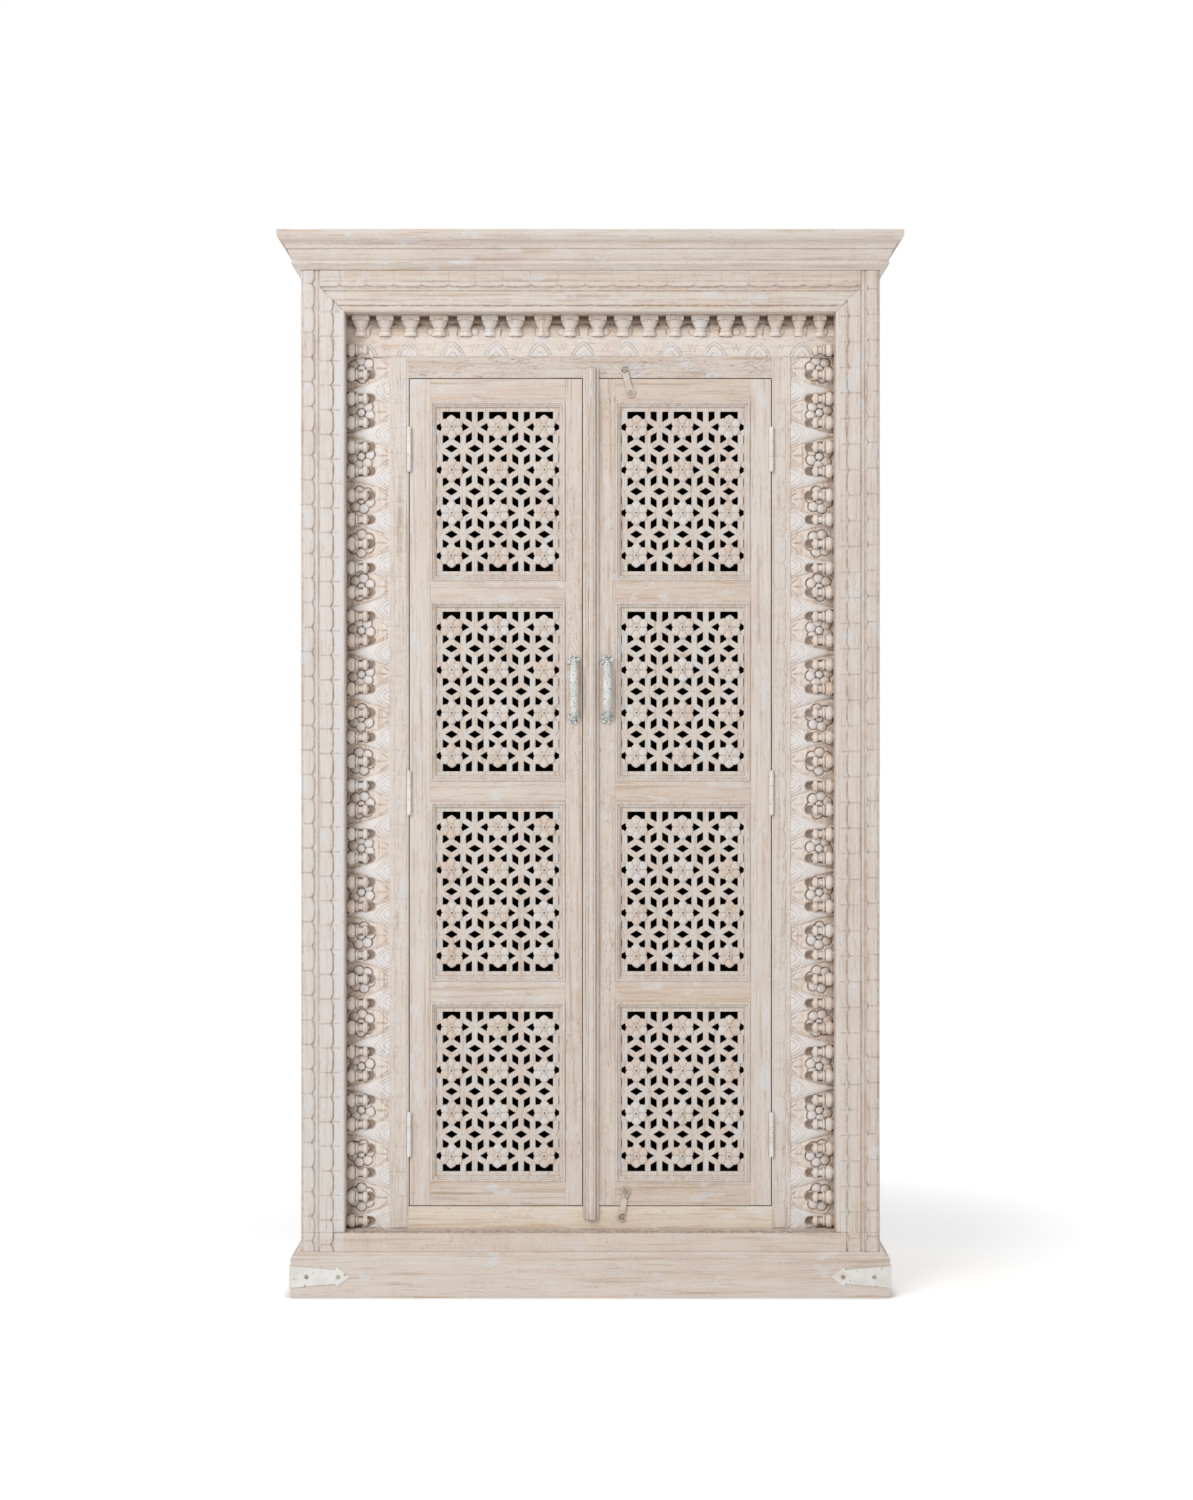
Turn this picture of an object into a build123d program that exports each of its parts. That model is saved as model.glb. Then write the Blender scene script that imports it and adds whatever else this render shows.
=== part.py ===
from build123d import *
import os

# Carved jali cabinet in whitewashed mango wood, in millimetres.
# Origin: on the floor, in the middle of the width and of the depth.
# +X is the right-hand side, the doors face -Y, +Z is up.

os.makedirs("parts", exist_ok=True)

# ---------------------------------------------------------------- driving sizes
overall_h = 1860.0
overall_d = 450.0
body_w = 1012.0
crown_overhang = 39.0
board_t = 18.0
back_t = 12.0
shelf_t = 18.0
shelf_setback = 6.0
cleat_h = 22.0
cleat_w = 18.0

# outer frame, with two carved rows of tiles
frame_t = 55.0
opening_w = 860.0
opening_z0 = 112.0
opening_z1 = 1722.0
tile_proud = 8.0
tile_pitch = 43.7
tile_w = 24.0
tile_gap = 9.0
row_rise = 18.0
row_margin = 10.0
tile_groove = 2.4
tile_groove_depth = 1.6
tile_shoulder = 4.4
lap_t = 25.0

# inner door frame and doors
door_recess = 35.0
door_proud = 0.6
inner_frame_t = 38.0
door_opening_w = 640.0
door_opening_z0 = 151.0
door_opening_z1 = 1611.0
jamb_w = 33.0
lintel_h = 37.0
stop_lip = 8.0
stop_gap = 0.5
door_t = 25.0
door_gap = 1.6
meeting_x = -13.5
meeting_gap = 1.2
lock_bevel = 1.6
panel_w = 238.0
panel_inner_x = 44.0
top_rail_h = 40.0
middle_rail_h = 37.0
bottom_rail_h = 42.0
panel_count = 4

# carved boards and turned spindles
carve_depth = 24.0
carve_flat_w = 28.0
carve_tuck = 14.0
arch_root = 4.0
arch_clear = 1.0
arch_pitch = 77.0
arch_r = 36.0
arch_rib = 8.0
arch_inset = 26.0
arch_low_z = 165.0
arch_shift_x = 27.0
flower_ring_r = 11.0
flower_petal_r = 7.0
floor_w = 20.0
spindle_pitch_side = 42.68
top_spindle_gaps = [43, 45, 50, 47, 43, 45, 49, 47, 49, 45, 46, 45, 45, 45, 44, 44, 41, 37]
spindle_low_z = 124.0
top_end_margin = 25.0
spindle_high_margin = 14.0
spindle_len = 37.0
spindle_drop = 5.0
spindle_bulb_r = 11.5
spindle_foot_t = 2.2
spindle_bulb_low = 3.0
spindle_bulb_high = 15.5
spindle_ring_low = 17.0
spindle_ring_high = 20.0
spindle_waist_low = 22.2
spindle_waist_high = 28.1
spindle_disc_low = 29.6
spindle_disc_r = 8.0
spindle_neck_r = 5.0
spindle_tenon_r = 3.5
spindle_fit = 0.2
socket_r = 8.3
socket_len = 18.0
socket_lead = 8.0

# lattice
lattice_t = 12.0
lattice_setback = 6.0
moulding_w = 10.0
moulding_proud = 2.5
node_pitch_x = 40.9
node_pitch_z = 37.85
rosette_rows = 4
bays_each_way = 3
bar_w = 9.8
border_h = 17.0
border_w = 11.0
rosette_ring_r = 12.5
rosette_petal_r = 8.5
rosette_t = 5.0
rosette_boss_r = 6.5
rosette_boss_t = 2.0

# crown, plinth and straps
crown_h = 84.0
crown_fillet = 9.0
crown_step = 3.0
crown_band_out = 24.2
crown_band_drop = 30.2
crown_bead_out = 12.9
crown_bead_drop = 58.8
crown_bow = 1.5
crown_bead = 9.0
plinth_h = 68.0
plinth_out = 17.0
plinth_t = 20.0
base_moulding_h = 30.0
base_rise = 11.0
base_lip_in = 2.0
base_lip_h = 4.5
base_shoulder_out = 12.0
base_shoulder_rise = 0.9
base_hollow = 2.0
strap_t = 2.0
strap_z = 37.0
strap_root_w = 38.0
strap_tip_inset = 3.75
strap_neck_w = 24.0
strap_len = 79.0
strap_head_w = 36.0
strap_head_len = 25.0
strap_screw_inset = 28.0
screw_r = 3.5
screw_shank_r = 2.0
screw_head_t = 1.2

# hinges
hinge_len = 76.0
hinge_r = 4.0
hinge_pin_r = 1.5
hinge_fit = 0.05
hinge_leaf_t = 1.5
hinge_leaf_w = 24.0
hinge_face_clear = 0.4
knuckle_gap = 0.3
hinge_cap_r = 3.2
hinge_heights = [278.0, 880.0, 1485.0]

# handles, cover strip and hooks
handle_z = 1062.0
handle_span = 100.0
handle_r = 4.0
handle_reach = 27.0
handle_base_r = 12.5
handle_base_t = 4.0
handle_boss_r = 8.0
handle_boss_t = 4.0
astragal_step_x = 6.0
astragal_step_y = 8.0
hinge_cap_t = 1.5
astragal_w = 28.2
astragal_t = 13.0
astragal_lap_top = 16.0
astragal_lap_bottom = 22.0
hook_t = 3.0
hook_w = 11.0
hook_eye_r = 5.0
hook_slot_r = 4.5
hook_ring_r = 8.5
hook_clear = 0.4
hook_head_clear = 0.3
pivot_r = 2.5
pivot_fit = 0.05
pivot_head_r = 5.0
pivot_head_t = 1.5
pivot_inset = 25.0
pivot_top_x = 71.0
pivot_bottom_x = 62.0
peg_r = 3.0
peg_head_r = 4.2
peg_top_inset = 14.0
peg_bottom_inset = 18.0
peg_top_x = 60.0
peg_bottom_x = 55.0
screw_root = 12.0

# ------------------------------------------------------------- worked-out places
half_body = body_w / 2
back_y = overall_d / 2
frame_y = -back_y + crown_overhang
frame_back_y = frame_y + frame_t
tile_y = frame_y - tile_proud
inner_y = frame_y + door_recess
inner_back_y = inner_y + inner_frame_t
door_y = inner_y - door_proud
door_back_y = door_y + door_t
half_opening = opening_w / 2
half_door_opening = door_opening_w / 2
jamb_x = half_door_opening + jamb_w
lintel_z = door_opening_z1 + lintel_h
inner_x = half_body - board_t
top_z = overall_h - board_t
bottom_top_z = door_opening_z0 - 3.0
column_x = half_body - tile_w
door_z0 = door_opening_z0 + door_gap
door_z1 = door_opening_z1 - door_gap
door_edge_x = half_door_opening - door_gap
panel_outer_x = panel_inner_x + panel_w
panel_h = (door_z1 - door_z0 - top_rail_h - bottom_rail_h
           - (panel_count - 1) * middle_rail_h) / panel_count
panel_pitch = panel_h + middle_rail_h
panel_heights = [door_z0 + bottom_rail_h + panel_h / 2 + i * panel_pitch for i in range(panel_count)]
hinge_x = half_door_opening - door_gap / 2
hinge_y = door_y - hinge_r - hinge_face_clear
spindle_y = inner_y + spindle_drop
lattice_y = door_y + lattice_setback
panel_centre_x = panel_inner_x + panel_w / 2

LEFT = -1
RIGHT = 1
SIDES = {"left": LEFT, "right": RIGHT}


def save(piece, name):
    """Label a finished piece and write it as a file of its own."""
    piece.part.label = name
    export_step(piece.part, f"parts/{name}.step")
    print(name, len(piece.part.solids()), round(piece.part.volume / 1000, 1), "cm3")


def board(name, x_range, y_range, z_range):
    """A plain board between two corners."""
    size = [b - a for a, b in (x_range, y_range, z_range)]
    centre = [(a + b) / 2 for a, b in (x_range, y_range, z_range)]
    with BuildPart() as piece:
        with Locations(tuple(centre)):
            Box(*size)
    save(piece, name)


def mirrored(side, near, far):
    """The x range from near to far on one side, lowest value first."""
    return sorted((side * near, side * far))


# ------------------------------------------------------------------- carcass
plinth_x = half_body + plinth_out
plinth_y = frame_y - plinth_out
base_top_z = plinth_h + base_moulding_h
crown_foot_z = overall_h - crown_h

strap_screws = [strap_screw_inset, strap_len + strap_tip_inset]

with BuildPart() as plinth_front:
    with Locations((0, plinth_y + plinth_t / 2, plinth_h / 2)):
        Box(2 * plinth_x, plinth_t, plinth_h)
    with BuildSketch(Plane.XZ.offset(-plinth_y)):
        for side in SIDES.values():
            with Locations(*[(side * (plinth_x - inset), strap_z) for inset in strap_screws]):
                Circle(screw_shank_r)
    extrude(amount=-screw_root, mode=Mode.SUBTRACT)
save(plinth_front, "plinth_front")

for word, side in SIDES.items():
    with BuildPart() as plinth_side:
        with Locations((side * (plinth_x - plinth_t / 2), (plinth_y + plinth_t + back_y) / 2, plinth_h / 2)):
            Box(plinth_t, back_y - plinth_y - plinth_t, plinth_h)
        for inset in strap_screws:
            with Locations(Plane(origin=(side * (plinth_x - screw_root / 2), plinth_y + inset, strap_z),
                                 z_dir=(side, 0, 0)).location):
                Cylinder(screw_shank_r, screw_root, mode=Mode.SUBTRACT)
    save(plinth_side, f"plinth_{word}")

board("plinth_back", (-plinth_x + plinth_t, plinth_x - plinth_t), (back_y - plinth_t, back_y), (0, plinth_h))
for word, side in SIDES.items():
    board(f"side_panel_{word}", mirrored(side, inner_x, half_body), (frame_back_y, back_y), (plinth_h, top_z))

board("back_panel", (-inner_x, inner_x), (back_y - back_t, back_y), (plinth_h, top_z))
board("bottom_board", (-inner_x, inner_x), (inner_back_y, back_y - back_t),
      (bottom_top_z - board_t, bottom_top_z))
board("top_board", (-half_body, half_body), (frame_y, back_y), (top_z, overall_h))

shelf_front_y = inner_back_y + shelf_setback
shelf_mid_y = (shelf_front_y + back_y - back_t) / 2
shelf_heights = [door_z0 + bottom_rail_h + (i + 1) * panel_pitch - middle_rail_h / 2
                 for i in range(panel_count - 1)]
for word, height in zip(("lower", "middle", "upper"), shelf_heights):
    board(f"{word}_shelf", (-inner_x, inner_x), (shelf_front_y, back_y - back_t),
          (height - shelf_t / 2, height + shelf_t / 2))

with BuildPart() as shelf_cleats:
    for height in shelf_heights:
        for side in SIDES.values():
            with Locations((side * (inner_x - cleat_w / 2), shelf_mid_y, height - (shelf_t + cleat_h) / 2)):
                Box(cleat_w, back_y - back_t - shelf_front_y, cleat_h)
save(shelf_cleats, "shelf_cleats")


# ----------------------------------------------------- crown and base moulding
def bowed(start, end, bow):
    """The middle of a run from start to end, moved bow to the left of it."""
    run_x = end[0] - start[0]
    run_z = end[1] - start[1]
    length = (run_x ** 2 + run_z ** 2) ** 0.5
    return ((start[0] + end[0]) / 2 - bow * run_z / length, (start[1] + end[1]) / 2 + bow * run_x / length)


def crown_profile():
    """Section of the crown: x is the overhang from the body, y is the height."""
    cyma_top = (crown_overhang, overall_h - crown_fillet)
    cyma_foot = (crown_band_out, overall_h - crown_band_drop)
    cyma_mid = ((cyma_top[0] + cyma_foot[0]) / 2, (cyma_top[1] + cyma_foot[1]) / 2)
    band_top = (cyma_foot[0] - crown_step, cyma_foot[1])
    bead_low = (crown_bead_out, overall_h - crown_bead_drop)
    bead_high = (crown_bead_out, bead_low[1] + crown_bead)
    cove_foot = (0, crown_foot_z)
    Polyline(cove_foot, (0, overall_h), (crown_overhang, overall_h), cyma_top)
    ThreePointArc(cyma_top, bowed(cyma_top, cyma_mid, crown_bow), cyma_mid)
    ThreePointArc(cyma_mid, bowed(cyma_mid, cyma_foot, -crown_bow), cyma_foot)
    Line(cyma_foot, band_top)
    ThreePointArc(band_top, bowed(band_top, bead_high, crown_bow), bead_high)
    ThreePointArc(bead_high, bowed(bead_high, bead_low, crown_bead / 3), bead_low)
    ThreePointArc(bead_low, bowed(bead_low, cove_foot, -crown_bow), cove_foot)


def base_profile():
    """Section of the base moulding: a fillet, then a hollow slope back to the body."""
    lip = (plinth_out - base_lip_in, plinth_h + base_lip_h)
    shoulder = (base_shoulder_out, lip[1] + base_shoulder_rise)
    Polyline((0, base_top_z), (0, plinth_h), (plinth_out, plinth_h), lip, shoulder)
    ThreePointArc(shoulder, bowed(shoulder, (0, base_top_z), base_hollow), (0, base_top_z))


def front_run(profile, name, reach, scribed_z):
    """A moulding along the front, mitred at both ends and scribed over the tiles."""
    with BuildPart() as run:
        with BuildSketch(Plane(origin=(0, frame_y, 0), x_dir=(0, -1, 0), z_dir=(-1, 0, 0))):
            with BuildLine():
                profile()
            make_face()
        extrude(amount=half_body + reach, both=True)
        for side in SIDES.values():
            mitre = Plane(origin=(side * half_body, frame_y, 0), z_dir=(side, 1, 0))
            split(bisect_by=mitre, keep=Keep.BOTTOM)
        with Locations((0, (tile_y + frame_y) / 2, sum(scribed_z) / 2)):
            Box(body_w, tile_proud, scribed_z[1] - scribed_z[0], mode=Mode.SUBTRACT)
    save(run, name)


def side_run(profile, name, side):
    """A moulding along one side, mitred at the front and square at the back."""
    with BuildPart() as run:
        with BuildSketch(Plane(origin=(side * half_body, back_y, 0), x_dir=(side, 0, 0), z_dir=(0, -side, 0))):
            with BuildLine():
                profile()
            make_face()
        extrude(amount=side * overall_d)
        split(bisect_by=Plane(origin=(side * half_body, frame_y, 0), z_dir=(side, 1, 0)), keep=Keep.TOP)
    save(run, name)


tile_top_z = crown_foot_z + row_rise
tile_foot_z = plinth_h + base_rise
front_run(crown_profile, "crown_front", crown_overhang, (crown_foot_z, tile_top_z))
front_run(base_profile, "base_moulding_front", plinth_out, (tile_foot_z, base_top_z))
for word, side in SIDES.items():
    side_run(crown_profile, f"crown_{word}", side)
    side_run(base_profile, f"base_moulding_{word}", side)

# ---------------------------------------------------------------- outer frame
# Each stile carries two upright ribs of tiles, and the head two level ones.
column_1 = half_body - tile_w / 2
column_2 = column_x - tile_gap - tile_w / 2
row_1 = tile_top_z - tile_w / 2
row_2 = opening_z1 + row_margin + tile_w / 2
tile_count_z = int((tile_top_z - tile_foot_z) / tile_pitch)
tile_joint_heights = [tile_top_z - (i + 1) * tile_pitch for i in range(tile_count_z)]
tile_count_x = int(2 * column_x / tile_pitch)

for word, side in SIDES.items():
    low, high = mirrored(side, half_opening, half_body)
    lap_low, lap_high = mirrored(side, half_opening, column_x)
    ribs = ((side * column_1, tile_foot_z, tile_top_z), (side * column_2, opening_z0, opening_z1))
    with BuildPart() as outer_stile:
        with Locations(((low + high) / 2, (frame_y + frame_back_y) / 2, (plinth_h + top_z) / 2)):
            Box(high - low, frame_t, top_z - plinth_h)
        for z_range in ((plinth_h, opening_z0), (opening_z1, top_z)):
            with Locations(((lap_low + lap_high) / 2, frame_y + lap_t / 2, sum(z_range) / 2)):
                Box(lap_high - lap_low, lap_t, z_range[1] - z_range[0], mode=Mode.SUBTRACT)
        for centre, z_low, z_high in ribs:
            with BuildSketch(Plane(origin=(centre, frame_y, z_low), x_dir=(1, 0, 0), z_dir=(0, 0, 1))):
                with BuildLine():
                    Polyline((-tile_w / 2, -tile_shoulder), (-tile_w / 2, 0),
                             (tile_w / 2, 0), (tile_w / 2, -tile_shoulder))
                    ThreePointArc((tile_w / 2, -tile_shoulder), (0, -tile_proud),
                                  (-tile_w / 2, -tile_shoulder))
                make_face()
            extrude(amount=z_high - z_low)
        for height in tile_joint_heights:
            for centre in (column_1, column_2):
                with Locations((side * centre, tile_y, height)):
                    Box(tile_w, 2 * tile_groove_depth, tile_groove, mode=Mode.SUBTRACT)
    save(outer_stile, f"outer_stile_{word}")

with BuildPart() as outer_head:
    with Locations((0, frame_y + lap_t / 2, (opening_z1 + top_z) / 2)):
        Box(2 * column_x, lap_t, top_z - opening_z1)
    with Locations((0, (frame_y + lap_t + frame_back_y) / 2, (opening_z1 + top_z) / 2)):
        Box(opening_w, frame_t - lap_t, top_z - opening_z1)
    for centre in (row_1, row_2):
        with BuildSketch(Plane(origin=(-column_x, frame_y, centre), x_dir=(0, 1, 0), z_dir=(1, 0, 0))):
            with BuildLine():
                Polyline((-tile_shoulder, -tile_w / 2), (0, -tile_w / 2),
                         (0, tile_w / 2), (-tile_shoulder, tile_w / 2))
                ThreePointArc((-tile_shoulder, tile_w / 2), (-tile_proud, 0), (-tile_shoulder, -tile_w / 2))
            make_face()
        extrude(amount=2 * column_x)
        for i in range(tile_count_x):
            with Locations(((i - (tile_count_x - 1) / 2) * tile_pitch, tile_y, centre)):
                Box(tile_groove, 2 * tile_groove_depth, tile_w, mode=Mode.SUBTRACT)
save(outer_head, "outer_head")

with BuildPart() as outer_sill:
    with Locations((0, frame_y + lap_t / 2, (plinth_h + opening_z0) / 2)):
        Box(2 * column_x, lap_t, opening_z0 - plinth_h)
    with Locations((0, (tile_y + frame_y) / 2, (tile_foot_z + opening_z0) / 2)):
        Box(2 * column_x, tile_proud, opening_z0 - tile_foot_z)
    with Locations((0, (frame_y + lap_t + frame_back_y) / 2, (plinth_h + opening_z0) / 2)):
        Box(opening_w, frame_t - lap_t, opening_z0 - plinth_h)
save(outer_sill, "outer_sill")

# --------------------------------------------------------- inner door frame
leaf_back_y = door_y + hinge_leaf_w
stop_y = door_back_y + stop_gap

for word, side in SIDES.items():
    low, high = mirrored(side, half_door_opening, jamb_x)
    with BuildPart() as door_jamb:
        with Locations(((low + high) / 2, (inner_y + inner_back_y) / 2, (opening_z0 + lintel_z) / 2)):
            Box(jamb_w, inner_frame_t, lintel_z - opening_z0)
        for height in hinge_heights:
            leaf_x = side * (half_door_opening + hinge_leaf_t / 2)
            with Locations((leaf_x, (inner_y + leaf_back_y) / 2, height)):
                Box(hinge_leaf_t, leaf_back_y - inner_y, hinge_len, mode=Mode.SUBTRACT)
    save(door_jamb, f"door_jamb_{word}")

pegs = {"door_lintel": (peg_top_x, door_opening_z1 + peg_top_inset),
        "door_sill": (peg_bottom_x, door_opening_z0 - peg_bottom_inset)}
door_frame_ends = {"door_lintel": (door_opening_z1, lintel_z, door_opening_z1 - stop_lip / 2),
                   "door_sill": (opening_z0, door_opening_z0, door_opening_z0 + stop_lip / 2)}
for name, (z_low, z_high, lip_z) in door_frame_ends.items():
    with BuildPart() as frame_end:
        with Locations((0, (inner_y + inner_back_y) / 2, (z_low + z_high) / 2)):
            Box(door_opening_w, inner_frame_t, z_high - z_low)
        with Locations((0, (stop_y + inner_back_y) / 2, lip_z)):
            Box(door_opening_w, inner_back_y - stop_y, stop_lip)
        with BuildSketch(Plane.XZ.offset(-inner_y)):
            with Locations(pegs[name]):
                Circle(peg_r)
        extrude(amount=-screw_root, mode=Mode.SUBTRACT)
    save(frame_end, name)

# -------------------------------------------------------------- carved boards
# A carved board slopes down from the plain strip to a deep floor beside the outer
# frame. Arches and flowers stand on that floor, just behind the turned spindles.
band_w = half_opening - jamb_x
top_band_w = opening_z1 - lintel_z
floor_y = inner_y + carve_depth
arch_y = spindle_y + spindle_bulb_r + arch_clear
arch_root_y = floor_y + arch_root
spindle_count = int((lintel_z + spindle_high_margin - spindle_low_z) / spindle_pitch_side) + 1
side_spindles = [spindle_low_z + i * spindle_pitch_side for i in range(spindle_count)]
# The row over the doors was set by eye, so its gaps differ; they are spread over the opening.
top_spread = (opening_w - 2 * top_end_margin) / sum(top_spindle_gaps)
top_spindles = [top_end_margin - half_opening + sum(top_spindle_gaps[:i]) * top_spread
                for i in range(len(top_spindle_gaps) + 1)]
arch_count = int((opening_z1 - arch_low_z) / arch_pitch)
side_arches = [arch_low_z + i * arch_pitch for i in range(arch_count)]
half_top_arches = int((jamb_x - arch_shift_x) / arch_pitch)
top_arches = [arch_shift_x + i * arch_pitch for i in range(-half_top_arches, half_top_arches)]


def band_section(width):
    """Section of a carved board: x runs outwards from the plain strip, y into the cabinet."""
    outer = width + carve_tuck
    Polyline((0, inner_y), (carve_flat_w, inner_y), (width - floor_w, floor_y), (width, floor_y),
             (width, frame_back_y), (outer, frame_back_y), (outer, inner_back_y), (0, inner_back_y),
             close=True)


def arch_sketch():
    """An arch rib, open towards the plain strip, round a flower; x points outwards."""
    with BuildSketch(mode=Mode.PRIVATE) as arch:
        Circle(arch_r)
        Circle(arch_r - arch_rib, mode=Mode.SUBTRACT)
        with Locations((-arch_r / 2, 0)):
            Rectangle(arch_r, 2 * arch_r, mode=Mode.SUBTRACT)
        with PolarLocations(flower_ring_r, 6):
            Circle(flower_petal_r)
        Circle(flower_petal_r)
        with Locations((arch_inset + arch_r / 2, 0)):
            Rectangle(arch_r, 2 * arch_r, mode=Mode.SUBTRACT)
    return arch.sketch


def socket_part():
    """The round-ended trough in which a spindle's end sits; its axis is +Z from the frame's edge."""
    with BuildPart(mode=Mode.PRIVATE) as socket:
        with Locations((0, 0, spindle_len + (socket_len - socket_lead) / 2)):
            Cylinder(socket_r, socket_len + socket_lead)
    return socket.part


arch_shape = arch_sketch()
socket_shape = socket_part()


def carved_board(name, width, outwards, along, start, length, arches, spindles, mitres):
    """A carved board: outwards points from the plain strip to the frame, along runs the board's length."""
    into = Vector(0, 1, 0)
    handed = 1 if outwards.cross(into).dot(along) > 0 else -1
    with BuildPart() as carved:
        with BuildSketch(Plane(origin=start, x_dir=outwards, z_dir=along * handed)):
            with BuildLine():
                band_section(width)
            make_face()
        extrude(amount=handed * length)
        for position in arches:
            centre = start + outwards * (width - arch_inset) + along * position + into * arch_y
            with BuildSketch(Plane(origin=centre, x_dir=outwards, z_dir=(0, -1, 0))):
                add(arch_shape)
            extrude(amount=arch_y - arch_root_y)
        for position in spindles:
            mouth = start + outwards * width + along * position + into * spindle_y
            with Locations(Plane(origin=mouth, x_dir=into, z_dir=-outwards).location):
                add(socket_shape, mode=Mode.SUBTRACT)
        for plane, keep in mitres:
            split(bisect_by=plane, keep=keep)
    save(carved, name)


board_len = opening_z1 + carve_tuck - opening_z0
mitre_planes = {side: Plane(origin=(side * jamb_x, 0, lintel_z), x_dir=(0, 1, 0),
                            z_dir=(-side * top_band_w, 0, band_w)) for side in SIDES.values()}
for word, side in SIDES.items():
    carved_board(f"carved_band_{word}", band_w, Vector(side, 0, 0), Vector(0, 0, 1),
                 Vector(side * jamb_x, 0, opening_z0), board_len,
                 [height - opening_z0 for height in side_arches],
                 [height - opening_z0 for height in side_spindles],
                 [(mitre_planes[side], Keep.BOTTOM)])
top_start_x = -half_opening - carve_tuck
carved_board("carved_band_top", top_band_w, Vector(0, 0, 1), Vector(1, 0, 0),
             Vector(top_start_x, 0, lintel_z), -2 * top_start_x,
             [x - top_start_x for x in top_arches], [x - top_start_x for x in top_spindles],
             [(plane, Keep.TOP) for plane in mitre_planes.values()])

# ------------------------------------------------------------ turned spindles
# One spindle is turned along +Z, from the outer frame's edge to its socket.
with BuildPart() as spindle:
    with BuildSketch(Plane.XZ):
        with BuildLine():
            neck = spindle_neck_r
            disc = spindle_disc_r
            end_z = spindle_len + socket_len - spindle_fit
            Polyline((0, 0), (disc, 0), (disc, spindle_foot_t), (neck, spindle_bulb_low))
            bulb_middle = (spindle_bulb_low + spindle_bulb_high) / 2
            ThreePointArc((neck, spindle_bulb_low), (spindle_bulb_r, bulb_middle), (neck, spindle_bulb_high))
            Polyline((neck, spindle_bulb_high), (disc, spindle_ring_low), (disc, spindle_ring_high),
                     (neck, spindle_waist_low), (neck, spindle_waist_high), (disc, spindle_disc_low),
                     (disc, spindle_len), (spindle_tenon_r, spindle_len), (spindle_tenon_r, end_z),
                     (0, end_z), (0, 0))
        make_face()
    revolve(axis=Axis.Z)


def spindle_row(name, planes):
    """A row of equal spindles, each with its foot on the outer frame's edge."""
    with BuildPart() as row:
        with Locations(*[plane.location for plane in planes]):
            add(spindle.part)
    save(row, name)


for word, side in SIDES.items():
    spindle_row(f"spindles_{word}", [Plane(origin=(side * half_opening, spindle_y, height), x_dir=(0, 1, 0),
                                           z_dir=(-side, 0, 0)) for height in side_spindles])
spindle_row("spindles_top", [Plane(origin=(x, spindle_y, opening_z1), x_dir=(0, 1, 0), z_dir=(0, 0, -1))
                             for x in top_spindles])

# -------------------------------------------------------------------- hinges
knuckle_len = (hinge_len - 2 * knuckle_gap) / 3
knuckle_pitch = knuckle_len + knuckle_gap
leaf_clear_y = hinge_y + hinge_r + knuckle_gap


def hinge_leaf(side, face_x, outwards, own, other):
    """One leaf with its own knuckles, round a hinge at height zero."""
    plate_x = face_x + side * outwards * hinge_leaf_t / 2
    with BuildPart(mode=Mode.PRIVATE) as leaf:
        with Locations((plate_x, (hinge_y + leaf_back_y) / 2, 0)):
            Box(hinge_leaf_t, leaf_back_y - hinge_y, hinge_len)
        with Locations(*[(side * hinge_x, hinge_y, i * knuckle_pitch) for i in own]):
            Cylinder(hinge_r, knuckle_len)
        for i in other:
            with Locations((side * hinge_x, (hinge_y + leaf_clear_y) / 2 - hinge_r, i * knuckle_pitch)):
                Box(2 * hinge_r + 2, leaf_clear_y - hinge_y + 2 * hinge_r, knuckle_pitch + knuckle_gap,
                    mode=Mode.SUBTRACT)
        with Locations((side * hinge_x, hinge_y, 0)):
            Cylinder(hinge_pin_r + hinge_fit, hinge_len, mode=Mode.SUBTRACT)
    return leaf.part


for word, side in SIDES.items():
    frame_leaf = hinge_leaf(side, side * half_door_opening, 1, (-1, 1), (0,))
    door_leaf = hinge_leaf(side, side * door_edge_x, -1, (0,), (-1, 1))
    with BuildPart() as frame_leaves:
        with Locations(*[(0, 0, height) for height in hinge_heights]):
            add(frame_leaf)
    save(frame_leaves, f"{word}_hinge_frame_leaves")
    with BuildPart() as door_leaves:
        with Locations(*[(0, 0, height) for height in hinge_heights]):
            add(door_leaf)
    save(door_leaves, f"{word}_hinge_door_leaves")

with BuildPart() as hinge_pins:
    for side in SIDES.values():
        for height in hinge_heights:
            with Locations((side * hinge_x, hinge_y, height)):
                Cylinder(hinge_pin_r, hinge_len)
            with Locations((side * hinge_x, hinge_y, height + (hinge_len + hinge_cap_t) / 2),
                           (side * hinge_x, hinge_y, height - (hinge_len + hinge_cap_t) / 2)):
                Cylinder(hinge_cap_r, hinge_cap_t)
save(hinge_pins, "hinge_pins")

# --------------------------------------------------------------------- doors
pivots = {"top_hook": (pivot_top_x, door_z1 - pivot_inset),
          "bottom_hook": (pivot_bottom_x, door_z0 + pivot_inset)}
lattice_half_w = panel_w / 2
lattice_half_h = panel_h / 2
spoke = node_pitch_z / 1.5


def lattice_hole(centre, edge_1, edge_2):
    """A rhombic hole between bars: the cell spanned by two edges, less half a bar all round."""
    area = abs(edge_1.cross(edge_2).Z)
    first = edge_1 * (1 - bar_w * edge_2.length / area) / 2
    second = edge_2 * (1 - bar_w * edge_1.length / area) / 2
    corners = [centre + first + second, centre - first + second,
               centre - first - second, centre + first - second]
    Polygon(*[(point.X, point.Y) for point in corners], align=None)


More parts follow.
